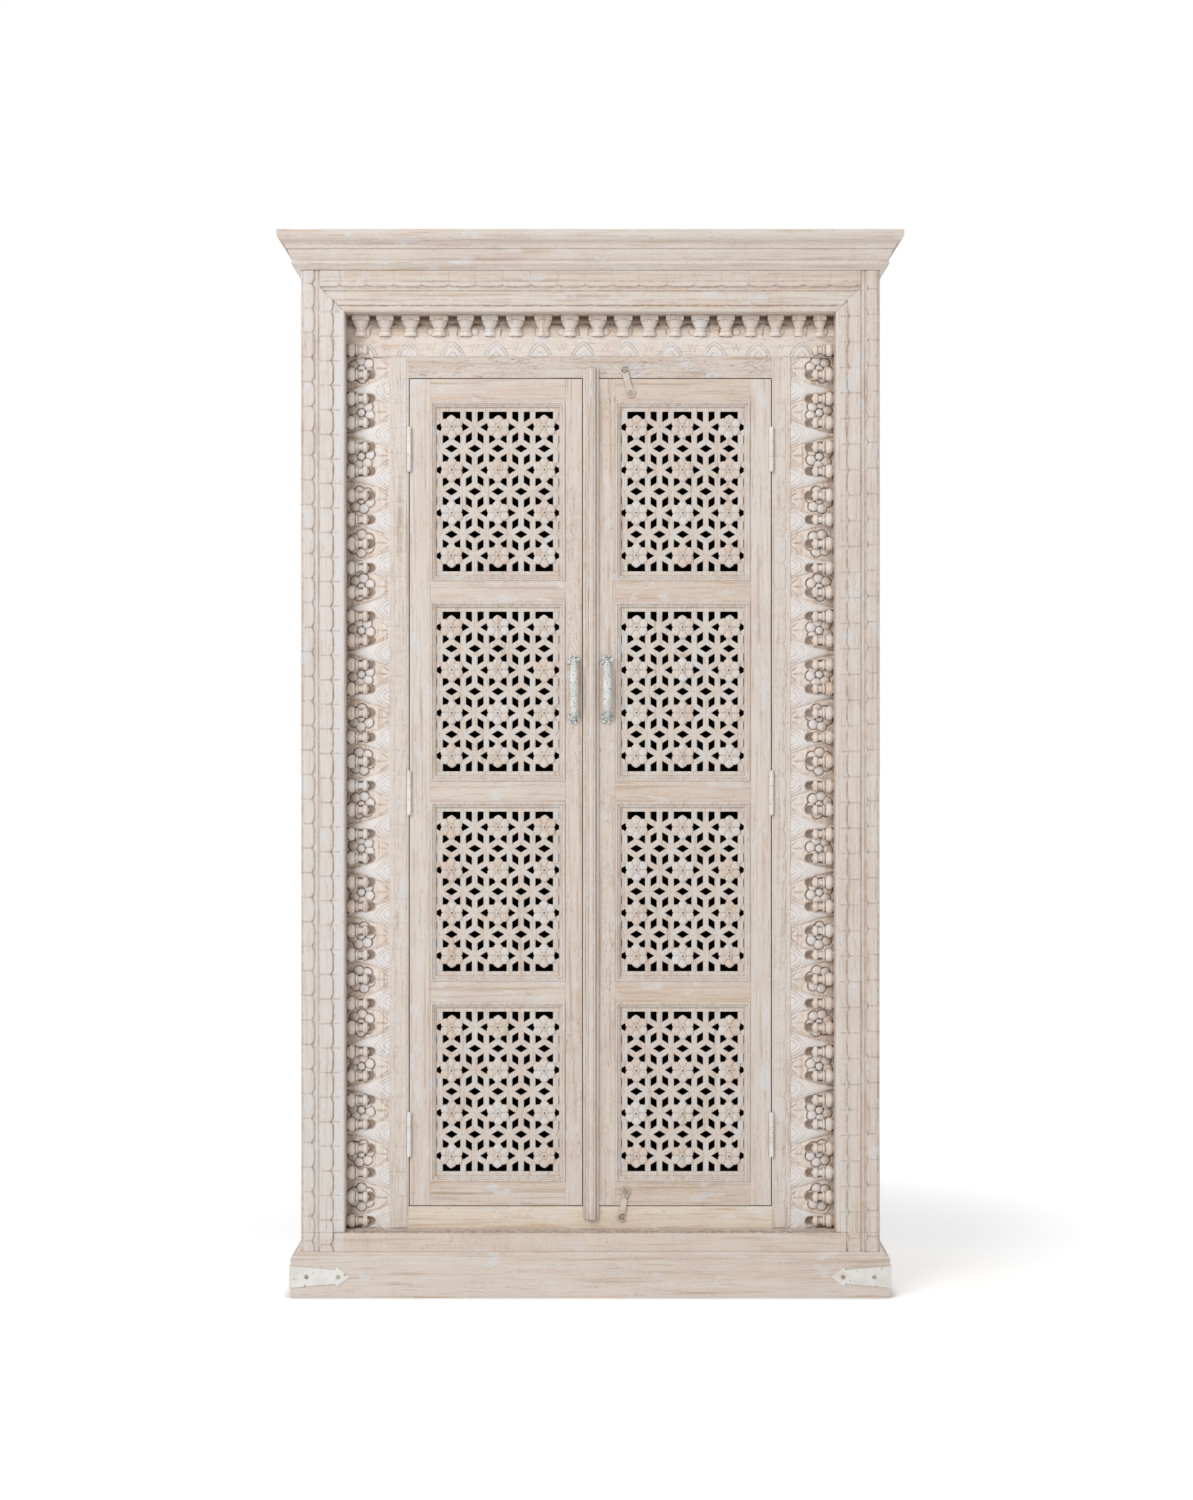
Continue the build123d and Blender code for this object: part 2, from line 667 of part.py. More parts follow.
def rim_hole(low, high):
    """A hole between two upright bars, open to the straight border."""
    rise = bar_w / 2 * (1 + (spoke / node_pitch_x) ** 2) ** 0.5
    stations = [low, high]
    if high - low > node_pitch_x / 2:
        stations = [low, (low + high) / 2, high]
    node_z = (rosette_rows - 1) * node_pitch_z
    floor = [(x, node_z + rise + abs(x - node_pitch_x * round(x / node_pitch_x)) * spoke / node_pitch_x)
             for x in stations]
    rim = lattice_half_h - border_h
    for sign in (LEFT, RIGHT):
        Polygon(*[(x, sign * z) for x, z in floor], (high, sign * rim), (low, sign * rim), align=None)


half_w = bar_w / 2
half_x = node_pitch_x / 2
with BuildSketch(mode=Mode.PRIVATE) as lattice_holes:
    for row in range(1 - rosette_rows, rosette_rows):
        shift = 0 if row % 2 else half_x
        for column in range(-bays_each_way, bays_each_way + 1):
            node = Vector(column * node_pitch_x + shift, row * node_pitch_z)
            right = Vector(half_x, spoke / 2)
            left = Vector(-half_x, spoke / 2)
            lattice_hole(node + Vector(half_x, 0), right, Vector(half_x, -spoke / 2))
            if row < rosette_rows - 1:
                lattice_hole(node + Vector(half_x / 2, spoke * 0.75), right, Vector(0, spoke))
                lattice_hole(node + Vector(-half_x / 2, spoke * 0.75), left, Vector(0, spoke))
    for centre in (-2 * node_pitch_x, 0, 2 * node_pitch_x):
        rim_hole(centre - half_x + half_w, centre + half_x - half_w)
    for centre in (-node_pitch_x, node_pitch_x):
        rim_hole(centre - half_x + half_w, centre - half_w)
        rim_hole(centre + half_w, centre + half_x - half_w)
    Rectangle(panel_w - 2 * border_w, panel_h - 2 * border_h, mode=Mode.INTERSECT)

with BuildPart() as lattice:
    Box(panel_w, lattice_t, panel_h)
    with BuildSketch(Plane.XZ.offset(lattice_t / 2)):
        add(lattice_holes.sketch)
    extrude(amount=-lattice_t, mode=Mode.SUBTRACT)

rosette_places = [(column * 2 * node_pitch_x, row * node_pitch_z)
                  for column in (-1, 0, 1) for row in range(1 - rosette_rows, rosette_rows, 2)]
with BuildPart() as rosette:
    with BuildSketch(Plane.XZ):
        with PolarLocations(rosette_ring_r, 6, start_angle=30):
            Circle(rosette_petal_r)
        Circle(rosette_ring_r)
    extrude(amount=rosette_t)
    with BuildSketch(Plane.XZ.offset(rosette_t)):
        Circle(rosette_boss_r)
    extrude(amount=rosette_boss_t)


def frame_ring(y_front, y_back, reach_x, reach_z, wall):
    """A rectangular bead round a panel."""
    with BuildPart(mode=Mode.PRIVATE) as ring:
        with BuildSketch(Plane.XZ.offset(-y_front)):
            Rectangle(2 * reach_x, 2 * reach_z)
            Rectangle(2 * (reach_x - wall), 2 * (reach_z - wall), mode=Mode.SUBTRACT)
        extrude(amount=y_front - y_back)
    return ring.part


front_bead = frame_ring(door_y - moulding_proud, lattice_y, lattice_half_w, lattice_half_h, moulding_w)
back_bead = frame_ring(lattice_y + lattice_t, door_back_y, lattice_half_w, lattice_half_h, moulding_w)

for word, side in SIDES.items():
    panel_x = side * panel_centre_x
    low, high = mirrored(side, panel_outer_x, door_edge_x)
    with BuildPart() as hinge_stile:
        with Locations(((low + high) / 2, (door_y + door_back_y) / 2, (door_z0 + door_z1) / 2)):
            Box(high - low, door_t, door_z1 - door_z0)
        for height in hinge_heights:
            with Locations((side * (door_edge_x - hinge_leaf_t / 2), (door_y + leaf_back_y) / 2, height)):
                Box(hinge_leaf_t, leaf_back_y - door_y, hinge_len, mode=Mode.SUBTRACT)
    save(hinge_stile, f"{word}_hinge_stile")

    lock_x = meeting_x + side * meeting_gap / 2
    with BuildPart() as lock_stile:
        with BuildSketch(Plane.XY.offset(door_z0)):
            with BuildLine():
                Polyline((side * panel_inner_x, door_y), (lock_x, door_y),
                         (lock_x + side * lock_bevel, door_back_y), (side * panel_inner_x, door_back_y),
                         close=True)
            make_face()
        extrude(amount=door_z1 - door_z0)
    save(lock_stile, f"{word}_lock_stile")

    rail_bands = [(door_z0, door_z0 + bottom_rail_h), (door_z1 - top_rail_h, door_z1)]
    rail_bands += [(height - middle_rail_h / 2, height + middle_rail_h / 2) for height in shelf_heights]
    with BuildPart() as rails:
        for z_low, z_high in rail_bands:
            with Locations((panel_x, (door_y + door_back_y) / 2, (z_low + z_high) / 2)):
                Box(panel_w, door_t, z_high - z_low)
        if side == RIGHT:
            with BuildSketch(Plane.XZ.offset(-door_y)):
                with Locations(*pivots.values()):
                    Circle(pivot_r)
            extrude(amount=-screw_root, mode=Mode.SUBTRACT)
    save(rails, f"{word}_rails")

    with BuildPart() as lattices:
        with Locations(*[(panel_x, lattice_y + lattice_t / 2, height) for height in panel_heights]):
            add(lattice.part)
    save(lattices, f"{word}_lattices")

    with BuildPart() as mouldings:
        with Locations(*[(panel_x, 0, height) for height in panel_heights]):
            add(front_bead)
            add(back_bead)
    save(mouldings, f"{word}_mouldings")

    with BuildPart() as rosettes:
        with Locations(*[(panel_x + x, lattice_y, height + z)
                         for height in panel_heights for x, z in rosette_places]):
            add(rosette.part)
    save(rosettes, f"{word}_rosettes")

# ------------------------------------------------------------ cover strip, pulls
astragal_x0 = meeting_x + meeting_gap / 2
astragal_x1 = astragal_x0 + astragal_w
astragal_z0 = door_opening_z0 - astragal_lap_bottom
astragal_z1 = door_opening_z1 + astragal_lap_top
with BuildPart() as astragal:
    with BuildSketch(Plane.XY.offset(astragal_z0)):
        with BuildLine():
            Polyline((astragal_x0, door_y), (astragal_x0, door_y - astragal_step_y),
                     (astragal_x0 + astragal_step_x, door_y - astragal_step_y),
                     (astragal_x0 + astragal_step_x, door_y - astragal_t),
                     (astragal_x1 - astragal_step_x, door_y - astragal_t),
                     (astragal_x1 - astragal_step_x, door_y - astragal_step_y),
                     (astragal_x1, door_y - astragal_step_y), (astragal_x1, door_y), close=True)
        make_face()
    extrude(amount=astragal_z1 - astragal_z0)
save(astragal, "astragal")

handle_places = {"left": (meeting_x - meeting_gap / 2 - panel_inner_x) / 2,
                 "right": (astragal_x1 + panel_inner_x) / 2}
for word, x in handle_places.items():
    side_plane = Plane(origin=(x, door_y, handle_z), x_dir=(0, 0, 1), z_dir=(1, 0, 0))
    grip_start = (-handle_span / 2, handle_base_t)
    with BuildPart() as handle:
        with BuildLine(side_plane) as grip_line:
            ThreePointArc(grip_start, (0, handle_reach), (handle_span / 2, handle_base_t))
        with BuildSketch(Plane(origin=grip_line.line @ 0, z_dir=grip_line.line % 0)):
            Circle(handle_r)
        sweep()
        for height in (handle_z - handle_span / 2, handle_z + handle_span / 2):
            with BuildSketch(Plane(origin=(x, door_y, height), x_dir=(1, 0, 0), z_dir=(0, -1, 0))):
                Circle(handle_base_r)
            extrude(amount=handle_base_t)
            base_top = Plane(origin=(x, door_y - handle_base_t, height), x_dir=(1, 0, 0), z_dir=(0, -1, 0))
            with BuildSketch(base_top):
                Circle(handle_boss_r)
            extrude(amount=handle_boss_t)
    save(handle, f"{word}_handle")

# --------------------------------------------------------------- hook latches
# Each hook turns on a screw in the right door; its open eye rests round a peg. The
# eye's mouth points square to the lever, so that the peg leaves it as the hook turns.
hook_back_y = door_y - hook_clear
hook_front_y = hook_back_y - hook_t
eyes = {"top_hook": pegs["door_lintel"], "bottom_hook": pegs["door_sill"]}
for name, pivot in pivots.items():
    eye = eyes[name]
    centre = ((pivot[0] + eye[0]) / 2, (pivot[1] + eye[1]) / 2)
    lever = Vector(eye[0] - pivot[0], eye[1] - pivot[1])
    upwards = 1 if lever.Y > 0 else -1
    angle = upwards * lever.get_angle(Vector(1, 0))
    slot_turn = angle - upwards * 90
    with BuildPart() as hook:
        with BuildSketch(Plane.XZ.offset(-hook_back_y)):
            with Locations(eye, pivot):
                Circle(hook_ring_r)
            with Locations(Location((centre[0], centre[1], 0), (0, 0, angle))):
                Rectangle(lever.length, hook_w)
            with Locations(eye):
                Circle(hook_eye_r, mode=Mode.SUBTRACT)
            with Locations(Location((eye[0], eye[1], 0), (0, 0, slot_turn))):
                with Locations((hook_ring_r, 0)):
                    Rectangle(2 * hook_ring_r, 2 * hook_slot_r, mode=Mode.SUBTRACT)
            with Locations(pivot):
                Circle(pivot_r + pivot_fit, mode=Mode.SUBTRACT)
        extrude(amount=hook_t)
    save(hook, name)


def headed_pins(name, places, shank_r, head_r, root_y):
    """Screws with a shank along Y and a flat head just in front of the hooks."""
    head_back_y = hook_front_y - hook_head_clear
    with BuildPart() as pins:
        with BuildSketch(Plane.XZ.offset(-root_y)):
            with Locations(*places):
                Circle(shank_r)
        extrude(amount=root_y - head_back_y)
        with BuildSketch(Plane.XZ.offset(-head_back_y)):
            with Locations(*places):
                Circle(head_r)
        extrude(amount=pivot_head_t)
    save(pins, name)


headed_pins("latch_pegs", pegs.values(), peg_r, peg_head_r, inner_y + screw_root)
headed_pins("hook_screws", pivots.values(), pivot_r, pivot_head_r, door_y + screw_root)

# --------------------------------------------------------------- corner straps
def strap_outline():
    """Arrow-ended strap; x runs from the corner along the board."""
    root = strap_root_w / 2
    neck = strap_neck_w / 2
    barb = strap_head_w / 2
    Polyline((0, -root), (strap_len, -neck), (strap_len, -barb), (strap_len + strap_head_len, 0),
             (strap_len, barb), (strap_len, neck), (0, root), close=True)


for word, side in SIDES.items():
    corner = (side * plinth_x, plinth_y, strap_z)
    front_plane = Plane(origin=corner, x_dir=(-side, 0, 0), z_dir=(0, -side, 0))
    side_plane = Plane(origin=corner, x_dir=(0, 1, 0), z_dir=(side, 0, 0))
    with BuildPart() as strap:
        with BuildSketch(front_plane):
            with BuildLine():
                strap_outline()
            make_face()
        extrude(amount=side * strap_t)
        with BuildSketch(side_plane):
            with BuildLine():
                strap_outline()
            make_face()
        extrude(amount=strap_t)
        with Locations((side * (plinth_x + strap_t / 2), plinth_y - strap_t / 2, strap_z)):
            Box(strap_t, strap_t, strap_root_w)
        for inset in strap_screws:
            on_front = Plane(origin=(side * (plinth_x - inset), plinth_y, strap_z), z_dir=(0, 1, 0))
            on_side = Plane(origin=(side * plinth_x, plinth_y + inset, strap_z), z_dir=(1, 0, 0))
            with Locations(on_front.location, on_side.location):
                Cylinder(screw_shank_r, 3 * strap_t, mode=Mode.SUBTRACT)
    save(strap, f"corner_strap_{word}")

with BuildPart() as strap_screw:
    Cylinder(screw_shank_r, screw_root + strap_t, align=(Align.CENTER, Align.CENTER, Align.MIN))
    with Locations((0, 0, screw_root + strap_t)):
        Cylinder(screw_r, screw_head_t, align=(Align.CENTER, Align.CENTER, Align.MIN))
with BuildPart() as corner_strap_screws:
    for side in SIDES.values():
        for inset in strap_screws:
            with Locations(Plane(origin=(side * (plinth_x - inset), plinth_y + screw_root, strap_z),
                                 z_dir=(0, -1, 0)).location,
                           Plane(origin=(side * (plinth_x - screw_root), plinth_y + inset, strap_z),
                                 z_dir=(side, 0, 0)).location):
                add(strap_screw.part)
save(corner_strap_screws, "corner_strap_screws")

print("size", 2 * (half_body + crown_overhang), overall_d, overall_h)
print("hinge pins at x", hinge_x, "y", hinge_y, "hook pivots", pivots, "pegs", pegs)
print("shelves at z", shelf_heights, "panels at z", panel_heights)
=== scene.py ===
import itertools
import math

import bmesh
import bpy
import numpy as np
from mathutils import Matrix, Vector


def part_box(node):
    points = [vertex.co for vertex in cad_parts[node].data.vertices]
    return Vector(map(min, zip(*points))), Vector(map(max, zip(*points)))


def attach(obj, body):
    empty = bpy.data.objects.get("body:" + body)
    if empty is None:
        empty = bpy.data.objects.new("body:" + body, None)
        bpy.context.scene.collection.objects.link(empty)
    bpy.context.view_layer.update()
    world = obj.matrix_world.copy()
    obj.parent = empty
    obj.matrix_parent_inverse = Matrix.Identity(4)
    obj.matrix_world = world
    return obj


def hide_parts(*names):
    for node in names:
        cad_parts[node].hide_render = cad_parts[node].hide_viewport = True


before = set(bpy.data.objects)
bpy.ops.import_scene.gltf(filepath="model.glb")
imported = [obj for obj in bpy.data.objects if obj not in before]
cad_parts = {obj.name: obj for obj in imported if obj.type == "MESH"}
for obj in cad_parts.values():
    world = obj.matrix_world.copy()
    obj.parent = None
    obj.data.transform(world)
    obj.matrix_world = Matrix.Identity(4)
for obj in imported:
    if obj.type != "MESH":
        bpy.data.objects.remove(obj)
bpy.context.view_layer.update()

# %% [markdown]
# # A carved jali cabinet
# The cabinet is a two-door armoire in mango wood, carved all round the doors and then
# whitewashed: thin white paint is brushed on, rubbed back, and a brown glaze is left in
# the cuts. The CAD model gives every board its place. This notebook adds what a carver,
# a turner and a painter add: relief, beads, turned profiles, wear and colour.

MM = 0.001
LEFT = -1
RIGHT = 1
SIDES = {"left": LEFT, "right": RIGHT}
rng = np.random.default_rng(7)

# %% [markdown]
# ## Sockets that behave like numbers
# Shader graphs read best as formulas. This class wraps one socket, so that colours,
# vectors and plain values can be added, multiplied and mixed by writing it down.


# %% A socket with operators
class Wire:
    """One output socket of a node tree, with arithmetic."""

    def __init__(self, tree, socket=None):
        self.tree = tree
        self.socket = socket

    def node(self, kind, settings=None, inputs=None, out=0):
        """Make any other node: its type, then its settings, then its inputs."""
        made = self.tree.nodes.new(kind)
        for name, value in (settings or {}).items():
            setattr(made, name, value)
        for name, value in (inputs or {}).items():
            if isinstance(value, Wire):
                self.tree.links.new(value.socket, made.inputs[name])
            else:
                made.inputs[name].default_value = value
        return Wire(self.tree, made.outputs[out])

    def is_vector(self):
        return self.socket.type in ("VECTOR", "RGBA")

    def math(self, operation, first, second=0.0):
        """Vector Math for colours and vectors, Math for plain values."""
        wide = any(isinstance(x, Wire) and x.is_vector() for x in (first, second))
        if not wide:
            return self.node("ShaderNodeMath", {"operation": operation}, {0: first, 1: second})
        pair = [x if isinstance(x, Wire) or isinstance(x, tuple) else (x, x, x) for x in (first, second)]
        return self.node("ShaderNodeVectorMath", {"operation": operation}, {0: pair[0], 1: pair[1]})

    def __add__(self, other):
        return self.math("ADD", self, other)

    def __radd__(self, other):
        return self.math("ADD", other, self)

    def __sub__(self, other):
        return self.math("SUBTRACT", self, other)

    def __rsub__(self, other):
        return self.math("SUBTRACT", other, self)

    def __mul__(self, other):
        return self.math("MULTIPLY", self, other)

    def __rmul__(self, other):
        return self.math("MULTIPLY", other, self)

    def step(self, low, high, start=0.0, end=1.0):
        """A soft step: start below low, end above high."""
        return self.node("ShaderNodeMapRange", {"interpolation_type": "SMOOTHSTEP"},
                         {"Value": self, "From Min": low, "From Max": high, "To Min": start, "To Max": end})

    def mix(self, first, second):
        """Blend two colours by this value: 0 gives first, 1 gives second."""
        made = self.tree.nodes.new("ShaderNodeMix")
        made.data_type = "RGBA"
        self.tree.links.new(self.socket, made.inputs[0])
        for place, value in ((6, first), (7, second)):
            if isinstance(value, Wire):
                self.tree.links.new(value.socket, made.inputs[place])
            else:
                made.inputs[place].default_value = (*value, 1.0)
        return Wire(self.tree, made.outputs[2])

    def axis(self, name):
        """One coordinate of a vector, by its letter."""
        return self.node("ShaderNodeSeparateXYZ", None, {"Vector": self}, out="XYZ".index(name))

    def feed(self, shader, name):
        """Link this value into an input of the shader."""
        self.tree.links.new(self.socket, shader.inputs[name])


def paint(red, green, blue):
    """A display colour from 0 to 255 as the linear colour that shaders use."""
    def linear(value):
        value = value / 255
        return value / 12.92 if value <= 0.04045 else ((value + 0.055) / 1.055) ** 2.4
    return (linear(red), linear(green), linear(blue))


# %% [markdown]
# ## What every finish starts and ends with
# All finishes are procedural: they begin at the object's own coordinates, so they stay on
# a door while it swings. Two occlusion nodes tell where a rag or a hand can't reach and
# where it rubs: one looks outwards for corners, the other inwards for edges. The darkening
# they give in recesses and the deepest corners is partly painted shade.

# %% The common start and end of a finish
def new_finish(name):
    """A material, its shader, a Wire in its tree and the object's own coordinates."""
    material = bpy.data.materials.new(name)
    material.use_nodes = True
    wire = Wire(material.node_tree)
    at = wire.node("ShaderNodeTexCoord", out=3)
    return material, material.node_tree.nodes["Principled BSDF"], wire, at


def feed_all(shader, colour, rough, height, strength, depth):
    """Link colour and roughness, and turn a height into a bump of so many metres."""
    bump = height.node("ShaderNodeBump", None, {"Height": height, "Strength": strength, "Distance": depth})
    colour.feed(shader, "Base Color")
    rough.feed(shader, "Roughness")
    bump.feed(shader, "Normal")


def openness(wire, distance, inside=False):
    """Near 1 in the open and near 0 in a corner; inside does the same for edges."""
    return wire.node("ShaderNodeAmbientOcclusion", {"samples": 4, "inside": inside},
                     {"Distance": distance}, out=1)


def marked(wire, name):
    """A number that the mesh carries at its points."""
    return wire.node("ShaderNodeAttribute", {"attribute_name": name}, out=2)


def noise_of(wire, at, scale, detail=3.0, roughness=0.55):
    """Plain noise at a place, about 0.5 on average."""
    return wire.node("ShaderNodeTexNoise", None,
                     {"Vector": at, "Scale": scale, "Detail": detail, "Roughness": roughness})


def streaks_of(wire, at, grain, across, along, detail, roughness=0.55):
    """Noise drawn out along the grain axis, so that it turns into streaks."""
    scale = [across, across, across]
    scale["xyz".index(grain)] = along
    drawn = wire.node("ShaderNodeVectorMath", {"operation": "MULTIPLY"}, {0: at, 1: tuple(scale)})
    return noise_of(wire, drawn, 1.0, detail, roughness)


print("paint(255, 128, 0) is", [round(x, 3) for x in paint(255, 128, 0)], "in linear light")

# %% [markdown]
# ## Whitewashed wood
# The wash is not one colour. Cream paint lies over tan wood, thinner along the grain,
# with cooler, thicker patches and pink where the wood bleeds through. A dark glaze stays
# where a rag can't reach: in grooves, at feet of mouldings and round every petal. Edges
# are rubbed brighter. The brush leaves fine lines along the grain.

# %% Colours of the wash
CREAM = paint(232, 223, 214)
COOL = paint(229, 227, 227)
PEACH = paint(222, 199, 180)
ROSE = paint(224, 206, 198)
BARE = paint(186, 161, 138)
SCRAPED = paint(168, 140, 117)
GLAZE = paint(112, 86, 64)
# the deepest corners: glaze with painted shade
CREVICE_GLAZE_AND_SHADE = paint(58, 42, 32)
print("cream wash is", [round(x, 3) for x in CREAM])


# %% [markdown]
# A brush leaves streaks of many widths along the grain. Each is noise drawn out along the
# board, laid over the last with its own strength. On the frame the grain changes at the
# mitre, so the finish holds both directions and picks one by place.

# %% The brushed colour of the wash
OPENING_TOP = 1.722
OPENING_SIDE = 0.430
OPENING_FOOT = 0.112
SECOND_ROW_SIDE = 0.478
CROWN_SHADOW_FROM = 1.772
LATTICE_FRONT = -0.1450
LATTICE_BACK = -0.1343
HAIR = 0.0003


def wash_colour(wire, at, grain, warmth):
    """The colour of the wash and its fine brushed lines, for one grain direction."""
    streaks = streaks_of(wire, at, grain, 46.0, 1.7, 4.0, 0.62)
    veins = streaks_of(wire, at, grain, 130.0, 4.0, 3.0, 0.6)
    brushed = streaks_of(wire, at, grain, 300.0, 11.0, 3.0, 0.65)
    fine = streaks_of(wire, at, grain, 640.0, 14.0, 2.0, 0.6)
    patches = streaks_of(wire, at, grain, 44.0, 21.0, 2.0, 0.5)
    blots = noise_of(wire, at, 7.5, 3.0, 0.6)
    specks = noise_of(wire, at, 330.0, 2.0, 0.6)
    colour = (streaks.step(0.46, 0.70) * 0.45 + 0.06 + 0.50 * (warmth - 1.0)).mix(CREAM, PEACH)
    for mask, low, high, strength, layer in (
            (blots, 0.52, 0.70, 0.60, ROSE), (veins, 0.54, 0.72, 0.60, BARE),
            (brushed, 0.52, 0.74, 0.60, BARE), (brushed, 0.47, 0.30, 0.60, COOL),
            (patches, 0.60, 0.68, 0.70, COOL), (specks, 0.50, 0.80, 0.30, BARE),
            (fine, 0.50, 0.78, 0.30, BARE)):
        colour = (mask.step(low, high) * strength).mix(colour, layer)
    return colour, fine, brushed


def level_in_head(wire, at, warmth, upright):
    """The upright wash with level grain in the head and sill of the frame, parted at the mitre."""
    level = wash_colour(wire, at, "x", warmth)
    height = at.axis("Z")
    reach = wire.node("ShaderNodeMath", {"operation": "ABSOLUTE"}, {0: at.axis("X")})
    inside_row = (SECOND_ROW_SIDE - reach).step(-HAIR, HAIR)
    in_head = (height - OPENING_TOP - (reach - OPENING_SIDE)).step(-HAIR, HAIR) * inside_row
    in_sill = (OPENING_FOOT - height).step(-HAIR, HAIR) * inside_row
    choice = wire.math("MAXIMUM", in_head, in_sill)
    colour = choice.mix(upright[0], level[0])
    # painted shade: the frame darkens just under the crown, as in the crown's shadow
    colour = ((height - CROWN_SHADOW_FROM).step(0.0, 0.012) * 0.16).mix(colour, BARE)
    colour = (in_head * 0.10 + in_sill * 0.30).mix(colour, PEACH)
    fine, brushed = (old + choice * (new - old) for old, new in zip(upright[1:], level[1:]))
    return colour, fine, brushed


print("level grain runs to", SECOND_ROW_SIDE, "m from the middle, above", OPENING_TOP, "m")

# %% [markdown]
# Old paint chips in clusters, is scraped in short strokes and cracks along the grain. The
# finish lays glaze and wear over the brushed colour, guided by the marks on the mesh.

# %% Glaze and wear
def worn_paint(wire, at, grain, scuffs):
    """Masks of the chips, scrapes and crackle of old paint."""
    clusters = noise_of(wire, at, 11.0, 2.0, 0.5).step(0.56, 0.66)
    chips = noise_of(wire, at, 210.0, 2.0, 0.7).step(0.69, 0.74) * clusters
    worn_from = 0.62 - 0.18 * scuffs
    scrapes = streaks_of(wire, at, grain, 260.0, 60.0, 3.0, 0.7).step(0.60, 0.68)
    scrapes = scrapes * noise_of(wire, at, 16.0, 2.0, 0.5).step(worn_from, worn_from + 0.10)
    crackle = streaks_of(wire, at, grain, 360.0, 120.0, 4.0, 0.75).step(0.50, 0.62)
    crackle = crackle * noise_of(wire, at, 13.0, 3.0, 0.6).step(0.38, 0.60)
    return chips, scrapes, crackle


def washed_wood(name, grain="z", warmth=1.0, scuffs=0.55, grime_and_shade=0.34, shade=(1.0, 1.0, 1.0),
                mitred=False, pierced=False):
    """A material for one grain direction; mitred takes level grain in the head of the frame,
    and pierced colours the walls of the lattice's holes nearly black, a painted shade."""
    material, shader, wire, at = new_finish(name)
    colour, fine, brushed = wash_colour(wire, at, grain, warmth)
    if mitred:
        colour, fine, brushed = level_in_head(wire, at, warmth, (colour, fine, brushed))
    tint, cut = marked(wire, "tint"), marked(wire, "cut")
    colour = (tint.step(0.0, 1.0) * 0.55).mix(colour, PEACH)
    colour = ((0.0 - tint).step(0.0, 1.0) * 0.85).mix(colour, COOL)
    rubbed = noise_of(wire, at, 90.0, 3.0, 0.6)
    near, wide, inner = openness(wire, 0.005), openness(wire, 0.030), openness(wire, 0.0022, True)
    colour = (near.step(0.70, 0.25) * rubbed.step(0.35, 0.62, 0.25, 1.0) * 0.46).mix(colour, GLAZE)
    # painted shade with grime: a broad darkening towards bare wood in recesses up to 30 mm across
    colour = (wide.step(0.66, 0.15) * grime_and_shade).mix(colour, BARE)
    # painted shade over the glaze: near black in the deepest corners
    colour = (near.step(0.22, 0.04) * 0.75).mix(colour, CREVICE_GLAZE_AND_SHADE)
    # glaze in the cuts; marks of 1 and over give full glaze, which the carved boards also use for painted
    # shade
    patchy = cut * rubbed.step(0.36, 0.62, 0.25, 1.0) * (1.0 - cut.step(1.0, 1.15))
    colour = wire.math("MAXIMUM", patchy, cut.step(1.0, 2.0)).mix(colour, GLAZE)
    colour = (inner.step(0.75, 0.40) * rubbed.step(0.45, 0.60) * 0.60).mix(colour, CREAM)
    chips, scrapes, crackle = worn_paint(wire, at, grain, scuffs)
    colour = (chips * 0.60).mix(colour, GLAZE)
    colour = (crackle * (0.9 * scuffs - 0.30)).mix(colour, SCRAPED)
    colour = (scrapes * scuffs * 0.7).mix(colour, SCRAPED)
    # painted shade: the walls of the lattice's holes are coloured nearly black
    if pierced:
        depth = at.axis("Y")
        hole_wall_shade = (depth - LATTICE_FRONT).step(0.0, 0.0012) * (LATTICE_BACK - depth).step(0.0, 0.0006)
        colour = (hole_wall_shade * 0.95).mix(colour, paint(24, 15, 10))
    shader.inputs["Specular IOR Level"].default_value = 0.25
    feed_all(shader, colour * shade, 0.62 + fine * 0.18,
             fine * 0.45 + brushed * 0.65 - chips * 0.4 - scrapes * 0.2, 0.35, 0.0008)
    return material


# %% [markdown]
# Every board gets the wash that its grain and its wear ask for. The rails are the warmest,
# the lintel is scuffed the most, and the carved boards are the cleanest; the carved boards
# and the door sill are also made brighter, a painted light against the shade they lie in.

# %% The washes
WASH_UP = washed_wood("wash_up", "z")
WASH_LEVEL = washed_wood("wash_level", "x", warmth=1.15)
WASH_DEEP = washed_wood("wash_deep", "y")
WASH_FRAME = washed_wood("wash_frame", "z", mitred=True)
WASH_RAIL = washed_wood("wash_rail", "x", warmth=1.5)
WASH_RAIL_WARM = washed_wood("wash_rail_warm", "x", 1.7, shade=(0.975, 0.955, 0.93))
# painted light: the door sill is made brighter against the shade it lies in, and yellower
WASH_SILL = washed_wood("wash_sill", "x", 1.1, shade=(1.11, 1.09, 1.02))
WASH_STILE = washed_wood("wash_stile", "z", 1.2, 0.8, shade=(0.985, 0.975, 0.965))
WASH_SCUFFED = washed_wood("wash_scuffed", "x", 1.2, 1.0, shade=(0.94, 0.93, 0.925))
# painted light: the carved washes are made brighter against the shade of the recesses they lie in
WASH_CARVED = washed_wood("wash_carved", "z", 0.8, grime_and_shade=0.05, shade=(1.11, 1.10, 1.09))
WASH_CARVED_LEVEL = washed_wood("wash_carved_level", "x", 0.8, grime_and_shade=0.08, shade=(1.06, 1.05, 1.04))
WASH_PIERCED = washed_wood("wash_pierced", "z", pierced=True)
print("washes", [m.name for m in bpy.data.materials if m.name.startswith("wash_")])

# %% [markdown]
# ## Inside boards and painted iron
# The inside is coloured nearly black, a painted shade for the shadowed inside, so the
# lattice reads as dark holes; only the outer face of the back is bare, rough and paler. The
# handles and straps carry a chalky white paint over forged iron; it is chipped most on the handles.

# %% The other finishes
BACK_FACE = 0.2240


